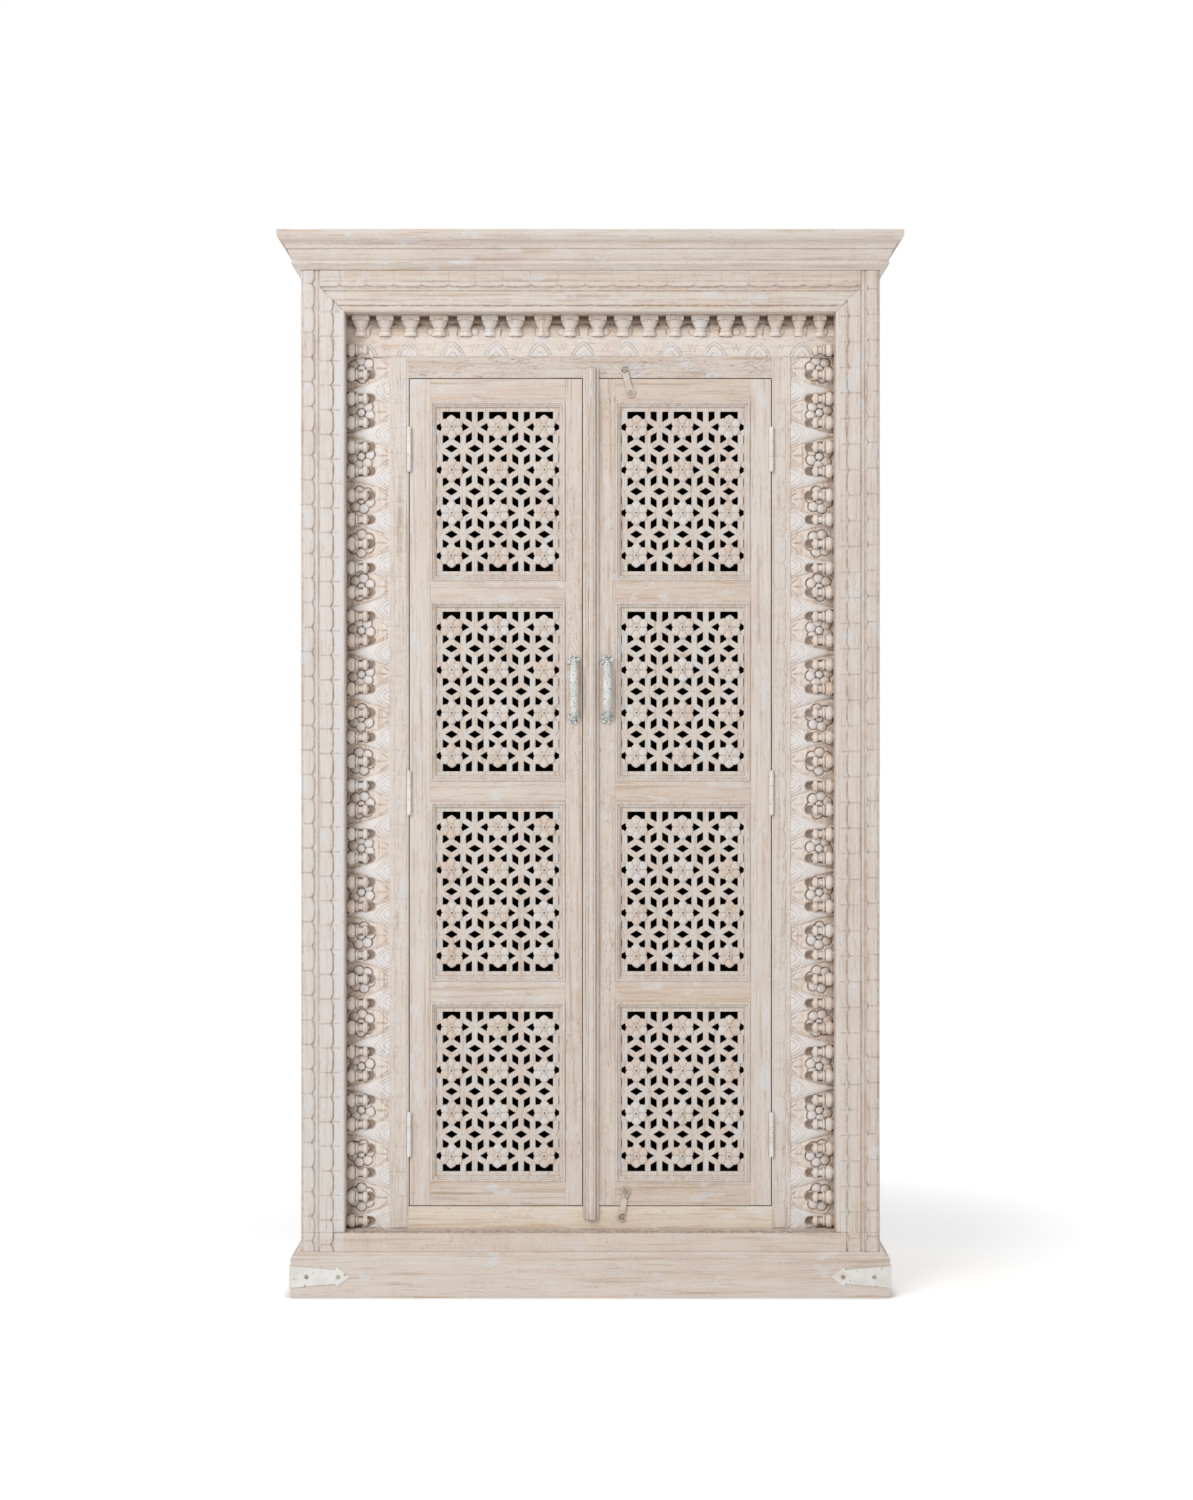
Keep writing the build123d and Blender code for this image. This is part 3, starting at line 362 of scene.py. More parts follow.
def stained_wood(name):
    """Boards coloured nearly black with a faint grain, a painted shade for the shadowed inside; bare on the
    outer face of the back.
    """
    material, shader, wire, at = new_finish(name)
    grain = streaks_of(wire, at, "x", 160.0, 4.0, 3.0)
    blots = noise_of(wire, at, 9.0)
    # painted shade: the inside boards are coloured nearly black
    colour = grain.step(0.35, 0.70).mix(paint(15, 9, 6), paint(32, 21, 14))
    colour = (blots.step(0.5, 0.7) * 0.5).mix(colour, paint(52, 36, 25))
    edge = openness(wire, 0.003, True)
    colour = (edge.step(0.75, 0.40) * 0.4).mix(colour, paint(90, 68, 50))
    outside = grain.step(0.30, 0.75).mix(paint(104, 82, 62), paint(132, 108, 85))
    outside = blots.step(0.45, 0.7).mix(outside, paint(90, 68, 50))
    colour = at.axis("Y").step(BACK_FACE - 0.0005, BACK_FACE + 0.0005).mix(colour, outside)
    feed_all(shader, colour, 0.60 + grain * 0.25, grain, 0.2, 0.0005)
    return material


def painted_iron(name, chipped, light=(244, 243, 240), dim=(232, 226, 218), grit=95.0):
    """Pale paint over iron; chipped is how much iron shows, from 0 to 1, and grit how
    small the chips are."""
    material, shader, wire, at = new_finish(name)
    coarse = noise_of(wire, at, grit, 4.0, 0.75)
    specks = noise_of(wire, at, 420.0, 2.0, 0.6)
    mottle = noise_of(wire, at, 30.0, 3.0, 0.6)
    wear = coarse + specks * 0.25 + openness(wire, 0.0015, True).step(0.8, 0.4) * 0.06
    chips = wear.step(0.80 - 0.16 * chipped, 0.84 - 0.16 * chipped)
    white = mottle.step(0.35, 0.70).mix(paint(*light), paint(*dim))
    iron = specks.step(0.35, 0.65).mix(paint(88, 90, 92), paint(140, 142, 142))
    colour = chips.mix(white, iron)
    colour = (openness(wire, 0.004).step(0.75, 0.30) * 0.55).mix(colour, paint(110, 96, 84))
    colour = (marked(wire, "cut") * 0.8).mix(colour, paint(86, 80, 76))
    (chips * 0.55).feed(shader, "Metallic")
    feed_all(shader, colour, 0.55 - chips * 0.12 + specks * 0.12,
             specks * 0.3 + coarse * 0.4 - chips * 0.5, 0.35, 0.0005)
    return material


INSIDE_SHADE = stained_wood("inside_painted_shade")
IRON_WHITE = painted_iron("iron_white", 0.25)
IRON_WORN = painted_iron("iron_worn", 0.72, (236, 239, 236), (212, 217, 213), 330.0)
IRON_CREAM = painted_iron("iron_cream", 0.45, (226, 217, 204), (206, 192, 174))
IRON_SCREW = painted_iron("iron_screw", 0.75, (204, 192, 176), (170, 154, 136), 240.0)
print("other finishes", [m.name for m in (INSIDE_SHADE, IRON_WHITE, IRON_WORN, IRON_CREAM, IRON_SCREW)])

# %% [markdown]
# ## Making pieces
# All shapes are written in millimetres, in the cabinet's own frame, and scaled once when
# the mesh is made. Carved boards are height fields on a closed block, turned work is a
# stack of rings, and a bead is a profile carried round a rectangle.


# %% Meshes
WOOD = "whitewashed_wood"


def make_piece(name, points, faces, body, slot, material, nodes=(), cut=None, tint=None, crease=35.0):
    """One closed piece from points in millimetres."""
    mesh = bpy.data.meshes.new(name)
    mesh.from_pydata((np.asarray(points, float) * MM).tolist(), [], faces)
    for label, values in (("cut", cut), ("tint", tint)):
        if values is not None:
            layer = mesh.attributes.new(label, "FLOAT", "POINT")
            layer.data.foreach_set("value", np.asarray(values, np.float32))
    work = bmesh.new()
    work.from_mesh(mesh)
    bmesh.ops.recalc_face_normals(work, faces=work.faces)
    work.to_mesh(mesh)
    work.free()
    mesh.shade_smooth()
    mesh.set_sharp_from_angle(angle=math.radians(crease))
    mesh.materials.append(material)
    piece = bpy.data.objects.new(name, mesh)
    bpy.context.scene.collection.objects.link(piece)
    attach(piece, body)
    if nodes:
        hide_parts(*nodes)
    return piece


# %% [markdown]
# A turned or cast form is a skin over rings of equal length. Forms that belong together
# go into one lot, so that thirty spindles are one piece with marks of their own.

# %% Rings, and lots of forms
def skin(rings):
    """Points and faces of a closed form through rings of equal length, capped at both ends."""
    count = len(rings[0])
    points = np.concatenate([np.asarray(ring, float) for ring in rings])
    faces = []
    for level in range(len(rings) - 1):
        base = level * count
        faces += [(base + i, base + (i + 1) % count, base + count + (i + 1) % count, base + count + i)
                  for i in range(count)]
    last = (len(rings) - 1) * count
    faces.append(tuple(range(count)))
    faces.append(tuple(range(last + count - 1, last - 1, -1)))
    return points, faces


class Lot:
    """Closed forms that become one piece, each with its own glaze and tint."""

    def __init__(self):
        self.points, self.faces, self.cuts, self.tints = [], [], [], []
        self.count = 0

    def add(self, form, cut=0.0, tint=0.0):
        """Add a form; cut and tint are one value, or one for each of its points."""
        points, faces = form
        self.points.append(points)
        self.faces += [tuple(self.count + i for i in face) for face in faces]
        self.count += len(points)
        self.cuts.append(np.broadcast_to(cut, len(points)))
        self.tints.append(np.broadcast_to(tint, len(points)))

    def make(self, name, body, slot, material, nodes=(), tinted=True, crease=35.0):
        """Make the piece, and return its points."""
        points = np.concatenate(self.points)
        make_piece(name, points, self.faces, body, slot, material, nodes, np.concatenate(self.cuts),
                   np.concatenate(self.tints) if tinted else None, crease)
        return points


# %% [markdown]
# A carved board is a height field: a grid of heights in front, with sides and a flat back
# so that it is a closed block. Sculpting would give the same, but not from numbers.

# %% Height fields
def relief(across, along, heights, place, back):
    """Points and faces of a block whose front is a height field; place maps to the frame."""
    rows, columns = len(across), len(along)
    a, b = np.meshgrid(across, along, indexing="ij")
    front = place(a.ravel(), b.ravel(), heights.ravel())
    near = place(np.full(columns, across[0]), along, np.full(columns, back))
    far = place(np.full(columns, across[-1]), along, np.full(columns, back))
    points = np.concatenate([front, near, far])
    index = np.arange(rows * columns).reshape(rows, columns)
    near_index = rows * columns + np.arange(columns)
    far_index = near_index + columns
    quads = np.stack([index[:-1, :-1], index[1:, :-1], index[1:, 1:], index[:-1, 1:]], -1).reshape(-1, 4)
    sides = [np.stack([near_index[:-1], index[0, :-1], index[0, 1:], near_index[1:]], -1),
             np.stack([index[-1, :-1], far_index[:-1], far_index[1:], index[-1, 1:]], -1),
             np.stack([far_index[:-1], near_index[:-1], near_index[1:], far_index[1:]], -1)]
    faces = quads.tolist() + np.concatenate(sides).tolist()
    faces.append([near_index[0]] + [far_index[0]] + index[::-1, 0].tolist())
    faces.append(index[:, -1].tolist() + [far_index[-1], near_index[-1]])
    return points, [tuple(int(i) for i in face) for face in faces]


def carve(name, across, along, heights, place, back, material, nodes, glaze, tint=None):
    """Make a fixed board from a height field, with the glaze and tint of its front."""
    points, faces = relief(across, along, heights, place, back)
    rest = np.zeros(len(points) - heights.size)
    marks = [None if values is None else np.concatenate([values.ravel(), rest]) for values in (glaze, tint)]
    make_piece(name, points, faces, "carcass", WOOD, material, nodes, *marks)
    print(name, len(faces), "faces")


# %% [markdown]
# The carving itself is drawn with a few shapes of one variable: a soft step, a cut line, a
# round boss and a slow unevenness from the tool.

# %% The marks of a tool
def soft(value, low, high):
    """A soft step from 0 at low to 1 at high."""
    t = np.clip((value - low) / (high - low), 0.0, 1.0)
    return t * t * (3 - 2 * t)


def line(distance, width):
    """A cut line: 1 on the line, fading over its width."""
    return np.exp(-(distance / width) ** 2)


def dome(distance, radius):
    """A round boss: 1 in the middle, 0 from the radius outwards."""
    return np.sqrt(np.clip(1 - (distance / radius) ** 2, 0.0, 1.0))


def grain_noise(first, second, size_1, size_2, seed):
    """Smooth random waves over a surface, between -1 and 1."""
    local = np.random.default_rng(seed)
    total = np.zeros(np.broadcast(first, second).shape)
    waves = 9
    for _ in range(waves):
        angle = local.uniform(0, 2 * math.pi)
        total += np.sin(2 * math.pi * (first * math.cos(angle) / size_1 + second * math.sin(angle) / size_2)
                        + local.uniform(0, 2 * math.pi))
    return total / waves * 1.6


print("mesh tools ready")

# %% [markdown]
# ## The outer frame
# Two rows of tiles run round the opening. The inner edge of each tile curls back at both
# ends, like a brace, and the rows are parted by a channel with a small bead. On the real
# frame a gouge cuts the curl and a V-tool the joints. It is one height field over stiles,
# head and sill, so the pattern runs on from board to board. The carver's own spacing
# differs between the left and right stile.

# %% Sizes of the outer frame
FRAME_Y = -186.0
FRAME_BACK_Y = -131.0
TILE_PROUD = 8.0
HALF_BODY = 506.0
HALF_OPENING = 430.0
OPENING_Z0 = 112.0
OPENING_Z1 = 1722.0
TILE_W = 24.0
TILE_PITCHES = (42.9, 44.75)
TILE_JOINTS_Z = (949.2, 952.8)
EDGE_JOINTS_Z = (955.5, 955.8)
ROW_PITCH = 47.7
TILE_TOP_Z = 1794.0
TILE_FOOT_Z = 79.0
CHANNEL_W = 9.0
STRIP_W = 19.0
FRAME_FOOT_Z = 68.0
FRAME_TOP_Z = 1842.0
LIP_END = 449.0
CURL_LONG = 12.0
CURL_DEEP = 5.0
GRID = 1.25


# %% [markdown]
# One row of tiles and one channel are written once, and then laid round the opening. The
# joints and curls of the level rows are cut less deep than those of the stiles.

# %% A row of tiles and a channel
def choose(pick, first, second):
    """Height and glaze of the first surface where pick holds, and of the second elsewhere."""
    return [np.where(pick, one, other) for one, other in zip(first, second)]


def cut_in(surface, lines, depth, shade):
    """Cut lines into a surface, given as height and glaze, and let glaze stay in them."""
    height, glaze = surface
    return height - depth * lines, np.maximum(glaze, shade * lines)


def rounded_off(distance, depth, over):
    """How much an arris loses at a distance from it."""
    return depth * np.exp(-np.clip(distance, 0, None) / over)


def tile_run(inward, forward, pitch, width, force=1.0):
    """Height and glaze of a row of tiles: inward is from the curled edge, forward along the
    row; force is how deep the joints and curls are cut."""
    from_joint = np.minimum(np.mod(forward, pitch), pitch - np.mod(forward, pitch))
    inside = inward - force * CURL_DEEP * np.clip(1 - from_joint / CURL_LONG, 0, 1) ** 2.1
    body = TILE_PROUD - rounded_off(inside, 1.3, 1.2) - rounded_off(width - inward, 1.2, 1.5)
    strip = TILE_PROUD - 2.0 - rounded_off(-inside, 1.0, 1.5)
    joint = line(from_joint, 1.15) * force * soft(inward, -14.0, -10.0)
    height = np.where(inside > 0, body, strip) - 0.8 * joint
    return height, np.maximum(0.50 * line(inside, 1.35), 0.40 * joint)


def channel(distance):
    """The hollow between two rows, with a bead along its middle."""
    middle = np.abs(distance - CHANNEL_W / 2)
    return 4.6 + 2.0 * dome(middle, CHANNEL_W * 0.24), 0.32 * line(middle - CHANNEL_W * 0.30, 0.8)


print("tiles are", TILE_W, "mm wide and", TILE_PITCHES, "mm long")

# %% [markdown]
# The field of the whole frame picks a row by place: side rows up to the mitre, level rows
# above it, a plain sill below, and an eased edge all round.

# %% The field of the whole frame
def head_rows(x, z):
    """The level rows over the opening: plainer, with a fillet along each."""
    row_2 = OPENING_Z1 + 10.0
    row_gap = row_2 + TILE_W
    row_1 = row_gap + CHANNEL_W
    head = tile_run(z - row_2, x, ROW_PITCH, TILE_W, 0.22)
    head = cut_in(head, line(z - row_2 - TILE_W * 0.42, 1.0), 0.6, 0.34)
    top = tile_run(z - row_1, x + 9.0, ROW_PITCH, 60.0, 0.55)
    top = cut_in(top, line(z - row_1 - 9.5, 1.1), 0.7, 0.40)
    return choose(z > row_1, top, choose(z > row_gap, channel(z - row_gap), head))


def frame_field(x, z):
    """Height over the frame's face, and glaze, at any place on the outer frame."""
    reach = np.abs(x)
    column_2 = HALF_OPENING + STRIP_W
    channel_x = column_2 + TILE_W
    column_1 = channel_x + CHANNEL_W
    pitch, joint_z, edge_joint_z = (
        np.where(x < 0, *pair) for pair in (TILE_PITCHES, TILE_JOINTS_Z, EDGE_JOINTS_Z))
    mitre = (z - OPENING_Z1) - (reach - HALF_OPENING)
    in_middle = reach < column_2 - 2.0
    face = tile_run(reach - column_2, joint_z - z, pitch, TILE_W)
    face = choose(mitre > 0, head_rows(x, z), face)
    face = choose((z < OPENING_Z0) & in_middle, (TILE_PROUD - 0.4, 0.0), face)
    face = cut_in(face, line(mitre, 0.8) * (z > OPENING_Z1), 0.9, 0.55)
    face = cut_in(face, line(z - OPENING_Z0, 0.9) * (z < OPENING_Z0 + 4) * in_middle, 1.2, 0.7)
    face = choose(reach > channel_x, channel(reach - channel_x), face)
    face = choose(reach > column_1, tile_run(reach - column_1, edge_joint_z - z, pitch, TILE_W + 8), face)
    height, glaze = cut_in(face, line(HALF_BODY - reach - 3.6, 0.9), 0.9, 0.55)
    lip = np.minimum(reach - HALF_OPENING, 60.0)
    lip = np.where(z > OPENING_Z1, z - OPENING_Z1, np.where(z < OPENING_Z0, OPENING_Z0 - z, lip))
    height = height - rounded_off(HALF_BODY - reach, 2.6, 1.6) - rounded_off(lip, 1.6, 1.3)
    height = np.where((z < TILE_FOOT_Z) | (z > TILE_TOP_Z), 0.0, height)
    uneven = 0.28 * grain_noise(x, z, 23.0, 61.0, 3) + 0.16 * grain_noise(x, z, 7.0, 15.0, 4)
    return np.clip(height + uneven * (height > 0.1), 0.0, TILE_PROUD), np.clip(glaze, 0, 1)


def frame_place(x, z, height):
    """From the frame's own axes to the cabinet's."""
    return np.stack([x, FRAME_Y - height, z], -1)


# %% [markdown]
# Four boards are cut from the field. The lip beside the opening is whiter than the tiles,
# and the left stile is tinted whiter than the right one, a painted light from the left.

# %% Stiles, head and sill of the outer frame
def frame_board(name, x_range, z_range, node):
    """One board of the outer frame, cut from the common field."""
    xs = np.linspace(*x_range, int((x_range[1] - x_range[0]) / GRID) + 1)
    zs = np.linspace(*z_range, int((z_range[1] - z_range[0]) / GRID) + 1)
    x, z = np.meshgrid(xs, zs, indexing="ij")
    height, glaze = frame_field(x, z)
    lip = (1 - soft(np.abs(x), LIP_END - 4.0, LIP_END)) * (z < OPENING_Z1)
    lip = lip * soft(z, OPENING_Z0, OPENING_Z0 + 30.0)
    # painted light: the whole left stile is tinted whiter as the lit side; the lip is whiter paint
    white = np.where(x < 0, -0.75 * lip - 0.45, 0.12 - 0.35 * lip)
    white = np.where(np.abs(x) > HALF_OPENING, white, 0.0) * (1 - np.minimum(1, 2 * glaze))
    carve(name, xs, zs, height, frame_place, FRAME_Y - FRAME_BACK_Y, WASH_FRAME, [node], glaze, white)


for word, side in SIDES.items():
    frame_board(f"carved_stile_{word}", sorted((side * HALF_OPENING, side * HALF_BODY)),
                (FRAME_FOOT_Z, FRAME_TOP_Z), f"outer_stile_{word}")
for name, heights, node in (("carved_head", (OPENING_Z1, FRAME_TOP_Z), "outer_head"),
                            ("plain_sill", (FRAME_FOOT_Z, OPENING_Z0), "outer_sill")):
    frame_board(name, (-HALF_OPENING, HALF_OPENING), heights, node)

# %% [markdown]
# ## The carved boards
# A broad board slopes from the door frame down to the foot of the outer frame. Along it
# stand pointed arches; a six-petalled flower fills the head of each arch, with a fan of
# leaves below, and a smooth leaf runs between two arches round a small stepped hill.
# A carver would saw the slope, drill and gouge round the flowers, then cut the lines.

# %% Sizes of the carved boards
STRIP_OUT = 151.0
JAMB_X = 353.0
LINTEL_Z = 1648.0
SIDE_BAND_W = 77.0
TOP_BAND_W = 74.0
ARCH_PITCH = 77.0
SIDE_ARCH_Z = 165.0
TOP_ARCH_X = 27.0
FLOWER_IN = 51.5
PETAL_RING = 15.4
PETAL_R = 9.4
RECESS_R = 10.4
BOSS_R = 6.9
HILL_TALL = 26.0
HILL_HALF = 20.0
SPINDLE_OUT = 146.0
TROUGH_R = 8.7
TROUGH_IN = 34.0
TROUGH_DEPTH = 6.5
SPINDLE_PITCH_SIDE = 42.68
SPINDLE_LOW_Z = 124.0
SPINDLE_COUNT_SIDE = 37
TOP_ROW_START = -405.0
TOP_ROW_GAPS = [43, 45, 50, 47, 43, 45, 49, 47, 49, 45, 46, 45, 45, 45, 44, 44, 41, 37]
BAND_BACK_OUT = 113.0
BAND_GRID = 1.15


# %% [markdown]
# The flower has six round petals about a boss, in a hollow with a scalloped edge. The hill
# and the leaf are outlines; how far a point lies inside them gives height and lines.

# %% Flower, hill and leaf
def flower(a, b, turn):
    """Height over the flower's hollow, distance inside its scalloped edge, and glaze."""
    nearest = np.full(a.shape, 99.0)
    second = np.full(a.shape, 99.0)
    for k in range(6):
        angle = turn + k * math.pi / 3
        d = np.hypot(a - PETAL_RING * math.cos(angle), b - PETAL_RING * math.sin(angle))
        second = np.minimum(second, np.maximum(nearest, d))
        nearest = np.minimum(nearest, d)
    height = 5.4 * dome(nearest, PETAL_R) ** 0.7
    radius = np.hypot(a, b)
    height = np.where(radius < BOSS_R, 5.4 + 1.8 * dome(radius, BOSS_R), height)
    ring = line(radius - BOSS_R - 0.3, 1.2)
    between = line(second - nearest, 2.0) * (radius > BOSS_R) * (nearest < PETAL_R)
    height = height - 2.2 * ring - 0.5 * line(radius - BOSS_R * 0.62, 0.9) - 1.5 * between
    inside = np.maximum(RECESS_R - nearest, PETAL_RING - radius)
    glaze = np.maximum(0.42 * ring, 0.30 * between)
    return height, inside, glaze


def hill(u, v, scale):
    """Distance inside a pointed hill that stands on the plain strip; v is from its middle."""
    rise = np.clip(u / (HILL_TALL * scale), 0, 1)
    return HILL_HALF * scale * (1 - rise ** 1.6) ** 0.8 - np.abs(v)


def leaf_half(u):
    """Half the width of the smooth leaf between two arches: a stem that flares to the strip."""
    stem = 4.0 + 6.5 * (1 - (u / SIDE_BAND_W) ** 3)
    return stem + 15.0 * np.clip(1 - u / 60.0, 0, 1) ** 1.6


def stepped_hill(u, v, steps, width, ease, depth):
    """Height of a hill in steps of (scale, lift), and the line round each step."""
    level, lines = 0.0, 0.0
    for scale, lift in steps:
        inside = hill(u, v, scale)
        below = soft(HILL_TALL * scale + 1.5 - u, 0.0, 2.0)
        trace = line(inside, width) * below
        level = level + lift * soft(inside, -ease, ease) * below - depth * trace
        lines = np.maximum(lines, trace)
    return level, lines


def leaf_fan(u, v, inside_leaf):
    """Where the fan of leaves under a flower reaches, and the cuts between its leaves."""
    radius, turn = np.hypot(u + 4.0, v), np.arctan2(v, u + 4.0)
    reach = soft(radius, 6.0, 11.0) * soft(-inside_leaf, 2.0, 5.0) * soft(29.0 - radius, 0.0, 3.0)
    return reach, np.clip(np.cos(turn * 9.0), 0, 1) ** 3 * reach


def flower_heads(a, b, index, seed):
    """The flowers of a board, each with a turn of its own: height, distance inside, glaze."""
    heads = [np.zeros(a.shape), np.full(a.shape, -99.0), np.zeros(a.shape)]
    for number in np.unique(index):
        pick = index == number
        turn = 0.35 * math.sin(number * 2.3 + seed) + math.pi / 6
        for whole, part in zip(heads, flower(a[pick], b[pick], turn)):
            whole[pick] = part
    return heads


# %% [markdown]
# One unit of the pattern is built up as the carver would: the slope, the leaf and its
# echo line, the hill, the fan, and last the hollow with the flower.

# %% One unit of the pattern
def band_unit(u, v, slope, seed):
    """Height out from the cabinet, glaze and tint of the arches; v is from a flower's middle."""
    index = np.round(v / ARCH_PITCH)
    from_flower = v - index * ARCH_PITCH
    from_hill = ARCH_PITCH / 2 - np.abs(from_flower)
    uneven = grain_noise(u, v, 31.0, 43.0, int(seed * 10) + 5)
    leaf = leaf_half(u)
    inside_leaf = leaf - from_hill + 0.8 * uneven
    keel = np.clip(inside_leaf / leaf, 0, 1)
    level = slope + np.where(inside_leaf > 0, 4.4 * (1 - (1 - keel) ** 2) - 1.0, -1.0)
    edge = line(inside_leaf, 1.3) * soft(u, 1.0, 4.0)
    echo = line(inside_leaf + 5.0, 1.1) * soft(u, 2.0, 6.0) * soft(46.0 - u, 0.0, 8.0)
    level = level - 1.3 * edge + 0.9 * echo
    glaze = 0.34 * edge * (0.5 + 0.5 * soft(uneven, -0.5, 0.5))
    hills, traces = stepped_hill(u, from_hill, ((1.0, 0.8), (0.76, 1.0), (0.44, 1.2)), 0.95, 1.6, 1.1)
    level = level + hills - 0.9 * line(u - 1.4, 1.0) * (from_hill < HILL_HALF + 2)
    tint = np.where(traces > 0.3, 0.0, -soft(inside_leaf, 1.0, 4.0))
    fan_reach, fan = leaf_fan(u, from_flower, inside_leaf)
    level = level + 1.6 * fan_reach - 2.2 * fan
    glaze = np.maximum(glaze, np.maximum(0.36 * traces, 0.34 * fan))
    across = u - FLOWER_IN
    bloom, inside, bloom_glaze = flower_heads(across, from_flower, index, seed)
    level = level + 1.3 * line(inside + 2.6, 1.9)
    hollow = soft(inside, -1.0, 1.0)
    level = level * (1 - hollow) + (slope - 4.6 + bloom) * hollow
    glaze = glaze * (1 - hollow) + bloom_glaze * hollow
    tint = tint * (1 - hollow) - 0.85 * hollow * soft(bloom, 2.0, 4.5)
    wall = line(inside - 0.4, 1.1)
    # glaze round the hollow; the extra towards the outer frame is a painted contact shade
    wall_glaze_and_shade = 0.16 + 0.50 * soft(uneven, -0.1, 0.7) + 0.16 * soft(across, 0.0, 10.0)
    return level - 0.9 * wall, np.maximum(glaze, wall * wall_glaze_and_shade), tint


def band_places(width, low, high):
    """Rows across a board and along it, and both as a grid."""
    us = np.linspace(0, width, int(width / BAND_GRID) + 1)
    vs = np.linspace(low, high, int((high - low) / BAND_GRID) + 1)
    return us, vs, *np.meshgrid(us, vs, indexing="ij")


def settled(level, u, down):
    """Keep a board's face inside the CAD board, with a flat edge at the jamb or lintel."""
    flat = soft(u, 0.0, 1.5)
    return np.clip(level, 121.0, STRIP_OUT) * flat + (STRIP_OUT - down) * (1 - flat)


# %% [markdown]
# The upright boards take the pattern as it comes. Where a spindle ends over the board, a
# trough is sunk for it; the corner behind its foot is glazed and darkened with painted shade,
# and so is the deep edge by the outer frame.

# %% The two upright boards
def side_band(word, side):
    """An upright carved board with the troughs of the spindles."""
    us, vs, u, v = band_places(SIDE_BAND_W, OPENING_Z0, LINTEL_Z)
    slope = STRIP_OUT - 2.5 - 13.0 * soft(u, 18.0, 80.0)
    level, glaze, tint = band_unit(u, v - SIDE_ARCH_Z, slope, 1.0 + side)
    level = level + 0.35 * grain_noise(u, v, 19.0, 33.0, 20 + side)
    level = level + 0.2 * grain_noise(u, v, 6.0, 9.0, 30 + side)
    nearest = SPINDLE_LOW_Z + SPINDLE_PITCH_SIDE * np.clip(
        np.round((v - SPINDLE_LOW_Z) / SPINDLE_PITCH_SIDE), 0, SPINDLE_COUNT_SIDE - 1)
    off = np.hypot(v - nearest, np.minimum(u - TROUGH_IN, 0))
    sunk = soft(TROUGH_R + 1.0 - off, 0.0, 4.0)
    trough = np.minimum(level, level * (1 - sunk) + (SPINDLE_OUT - TROUGH_DEPTH) * sunk)
    dug = soft(level - trough, 0.2, 2.5)
    # painted shade: full glaze in the socket behind the spindle's foot
    socket = soft(TROUGH_R - 0.5 - off, 0.0, 2.5) * soft(41.0 - u, 0.0, 1.5)
    glaze = np.maximum(glaze, np.maximum(0.14 * dug, 1.62 * socket))
    # painted shade: the deep edge by the outer frame is glazed darker
    glaze = np.maximum(glaze, 0.46 * soft(u, 55.0, 73.0))
    tint = tint * (1 - dug) * (1 - soft(u, 54.0, 68.0))

    def place(uu, vv, out):
        return np.stack([side * (JAMB_X + uu), -out, vv], -1)

    carve(f"carving_{word}", us, vs, settled(trough, u, 0.6), place, BAND_BACK_OUT, WASH_CARVED,
          [f"carved_band_{word}"], glaze, tint)


for word, side in SIDES.items():
    side_band(word, side)

# %% [markdown]
# The board over the doors stands out as a plain band with the hills on its lower edge,
# and drops behind the spindles, where the heads of the flowers are just seen.


# %% The board over the doors
TOP_LEDGE = 37.0
TOP_RAMP = 14.0
ARCH_HALF = 31.0
ARCH_TALL = 48.0
ARCH_FOOT = 35.0
PEARL_R = 7.5
PEARL_IN = 46.0
MARK_LOW = 11.0
MARK_TALL = 11.0
MARK_HALF = 8.0


def behind_spindles(u, v, slope):
    """Height and glaze of the hollow behind the spindles: arch heads with a pearl in each, and painted shade
    towards the outer frame.
    """
    inside = ARCH_HALF - np.hypot(v, (u - ARCH_FOOT) * ARCH_HALF / ARCH_TALL)
    pearl = np.hypot(v, u - PEARL_IN)
    level = slope + 2.4 * soft(-inside, -1.6, 1.6) - 0.9 * line(inside, 1.3) + 3.2 * dome(pearl, PEARL_R)
    glaze = np.maximum(0.75 * line(inside, 1.2), 0.60 * line(pearl - PEARL_R, 0.9))
    # painted shade: full glaze towards the outer frame, where the hollow lies in shade
    return level, np.maximum(glaze, 1.70 * soft(u, 46.0, 72.0))


def small_marks(u, v):
    """Two small V cuts side by side between two hills."""
    wave = np.abs(np.mod(v, MARK_HALF) / (MARK_HALF / 2) - 1)
    steep = math.hypot(1.0, MARK_TALL / (MARK_HALF / 2))
    return line((u - MARK_LOW - MARK_TALL * wave) / steep, 0.75) * (np.abs(v) < MARK_HALF)


def strip_hills(u, v, slope):
    """Height, glaze and tint of the plain strip with its low hills; v is from a hill's middle."""
    hills, traces = stepped_hill(u, v, ((1.06, 0.9), (0.82, 0.9), (0.36, 1.2)), 1.0, 1.8, 1.3)
    shoulder = line(np.abs(v) - 19.0 + 0.42 * (u - 12.0), 1.2) * soft(u, 22.0, 26.0)
    level, glaze = cut_in((slope + 1.2 + hills, 0.56 * traces), shoulder, 0.6, 0.14)
    return level, glaze, -0.55 * soft(hill(u, v, 1.2), -1.0, 2.0)


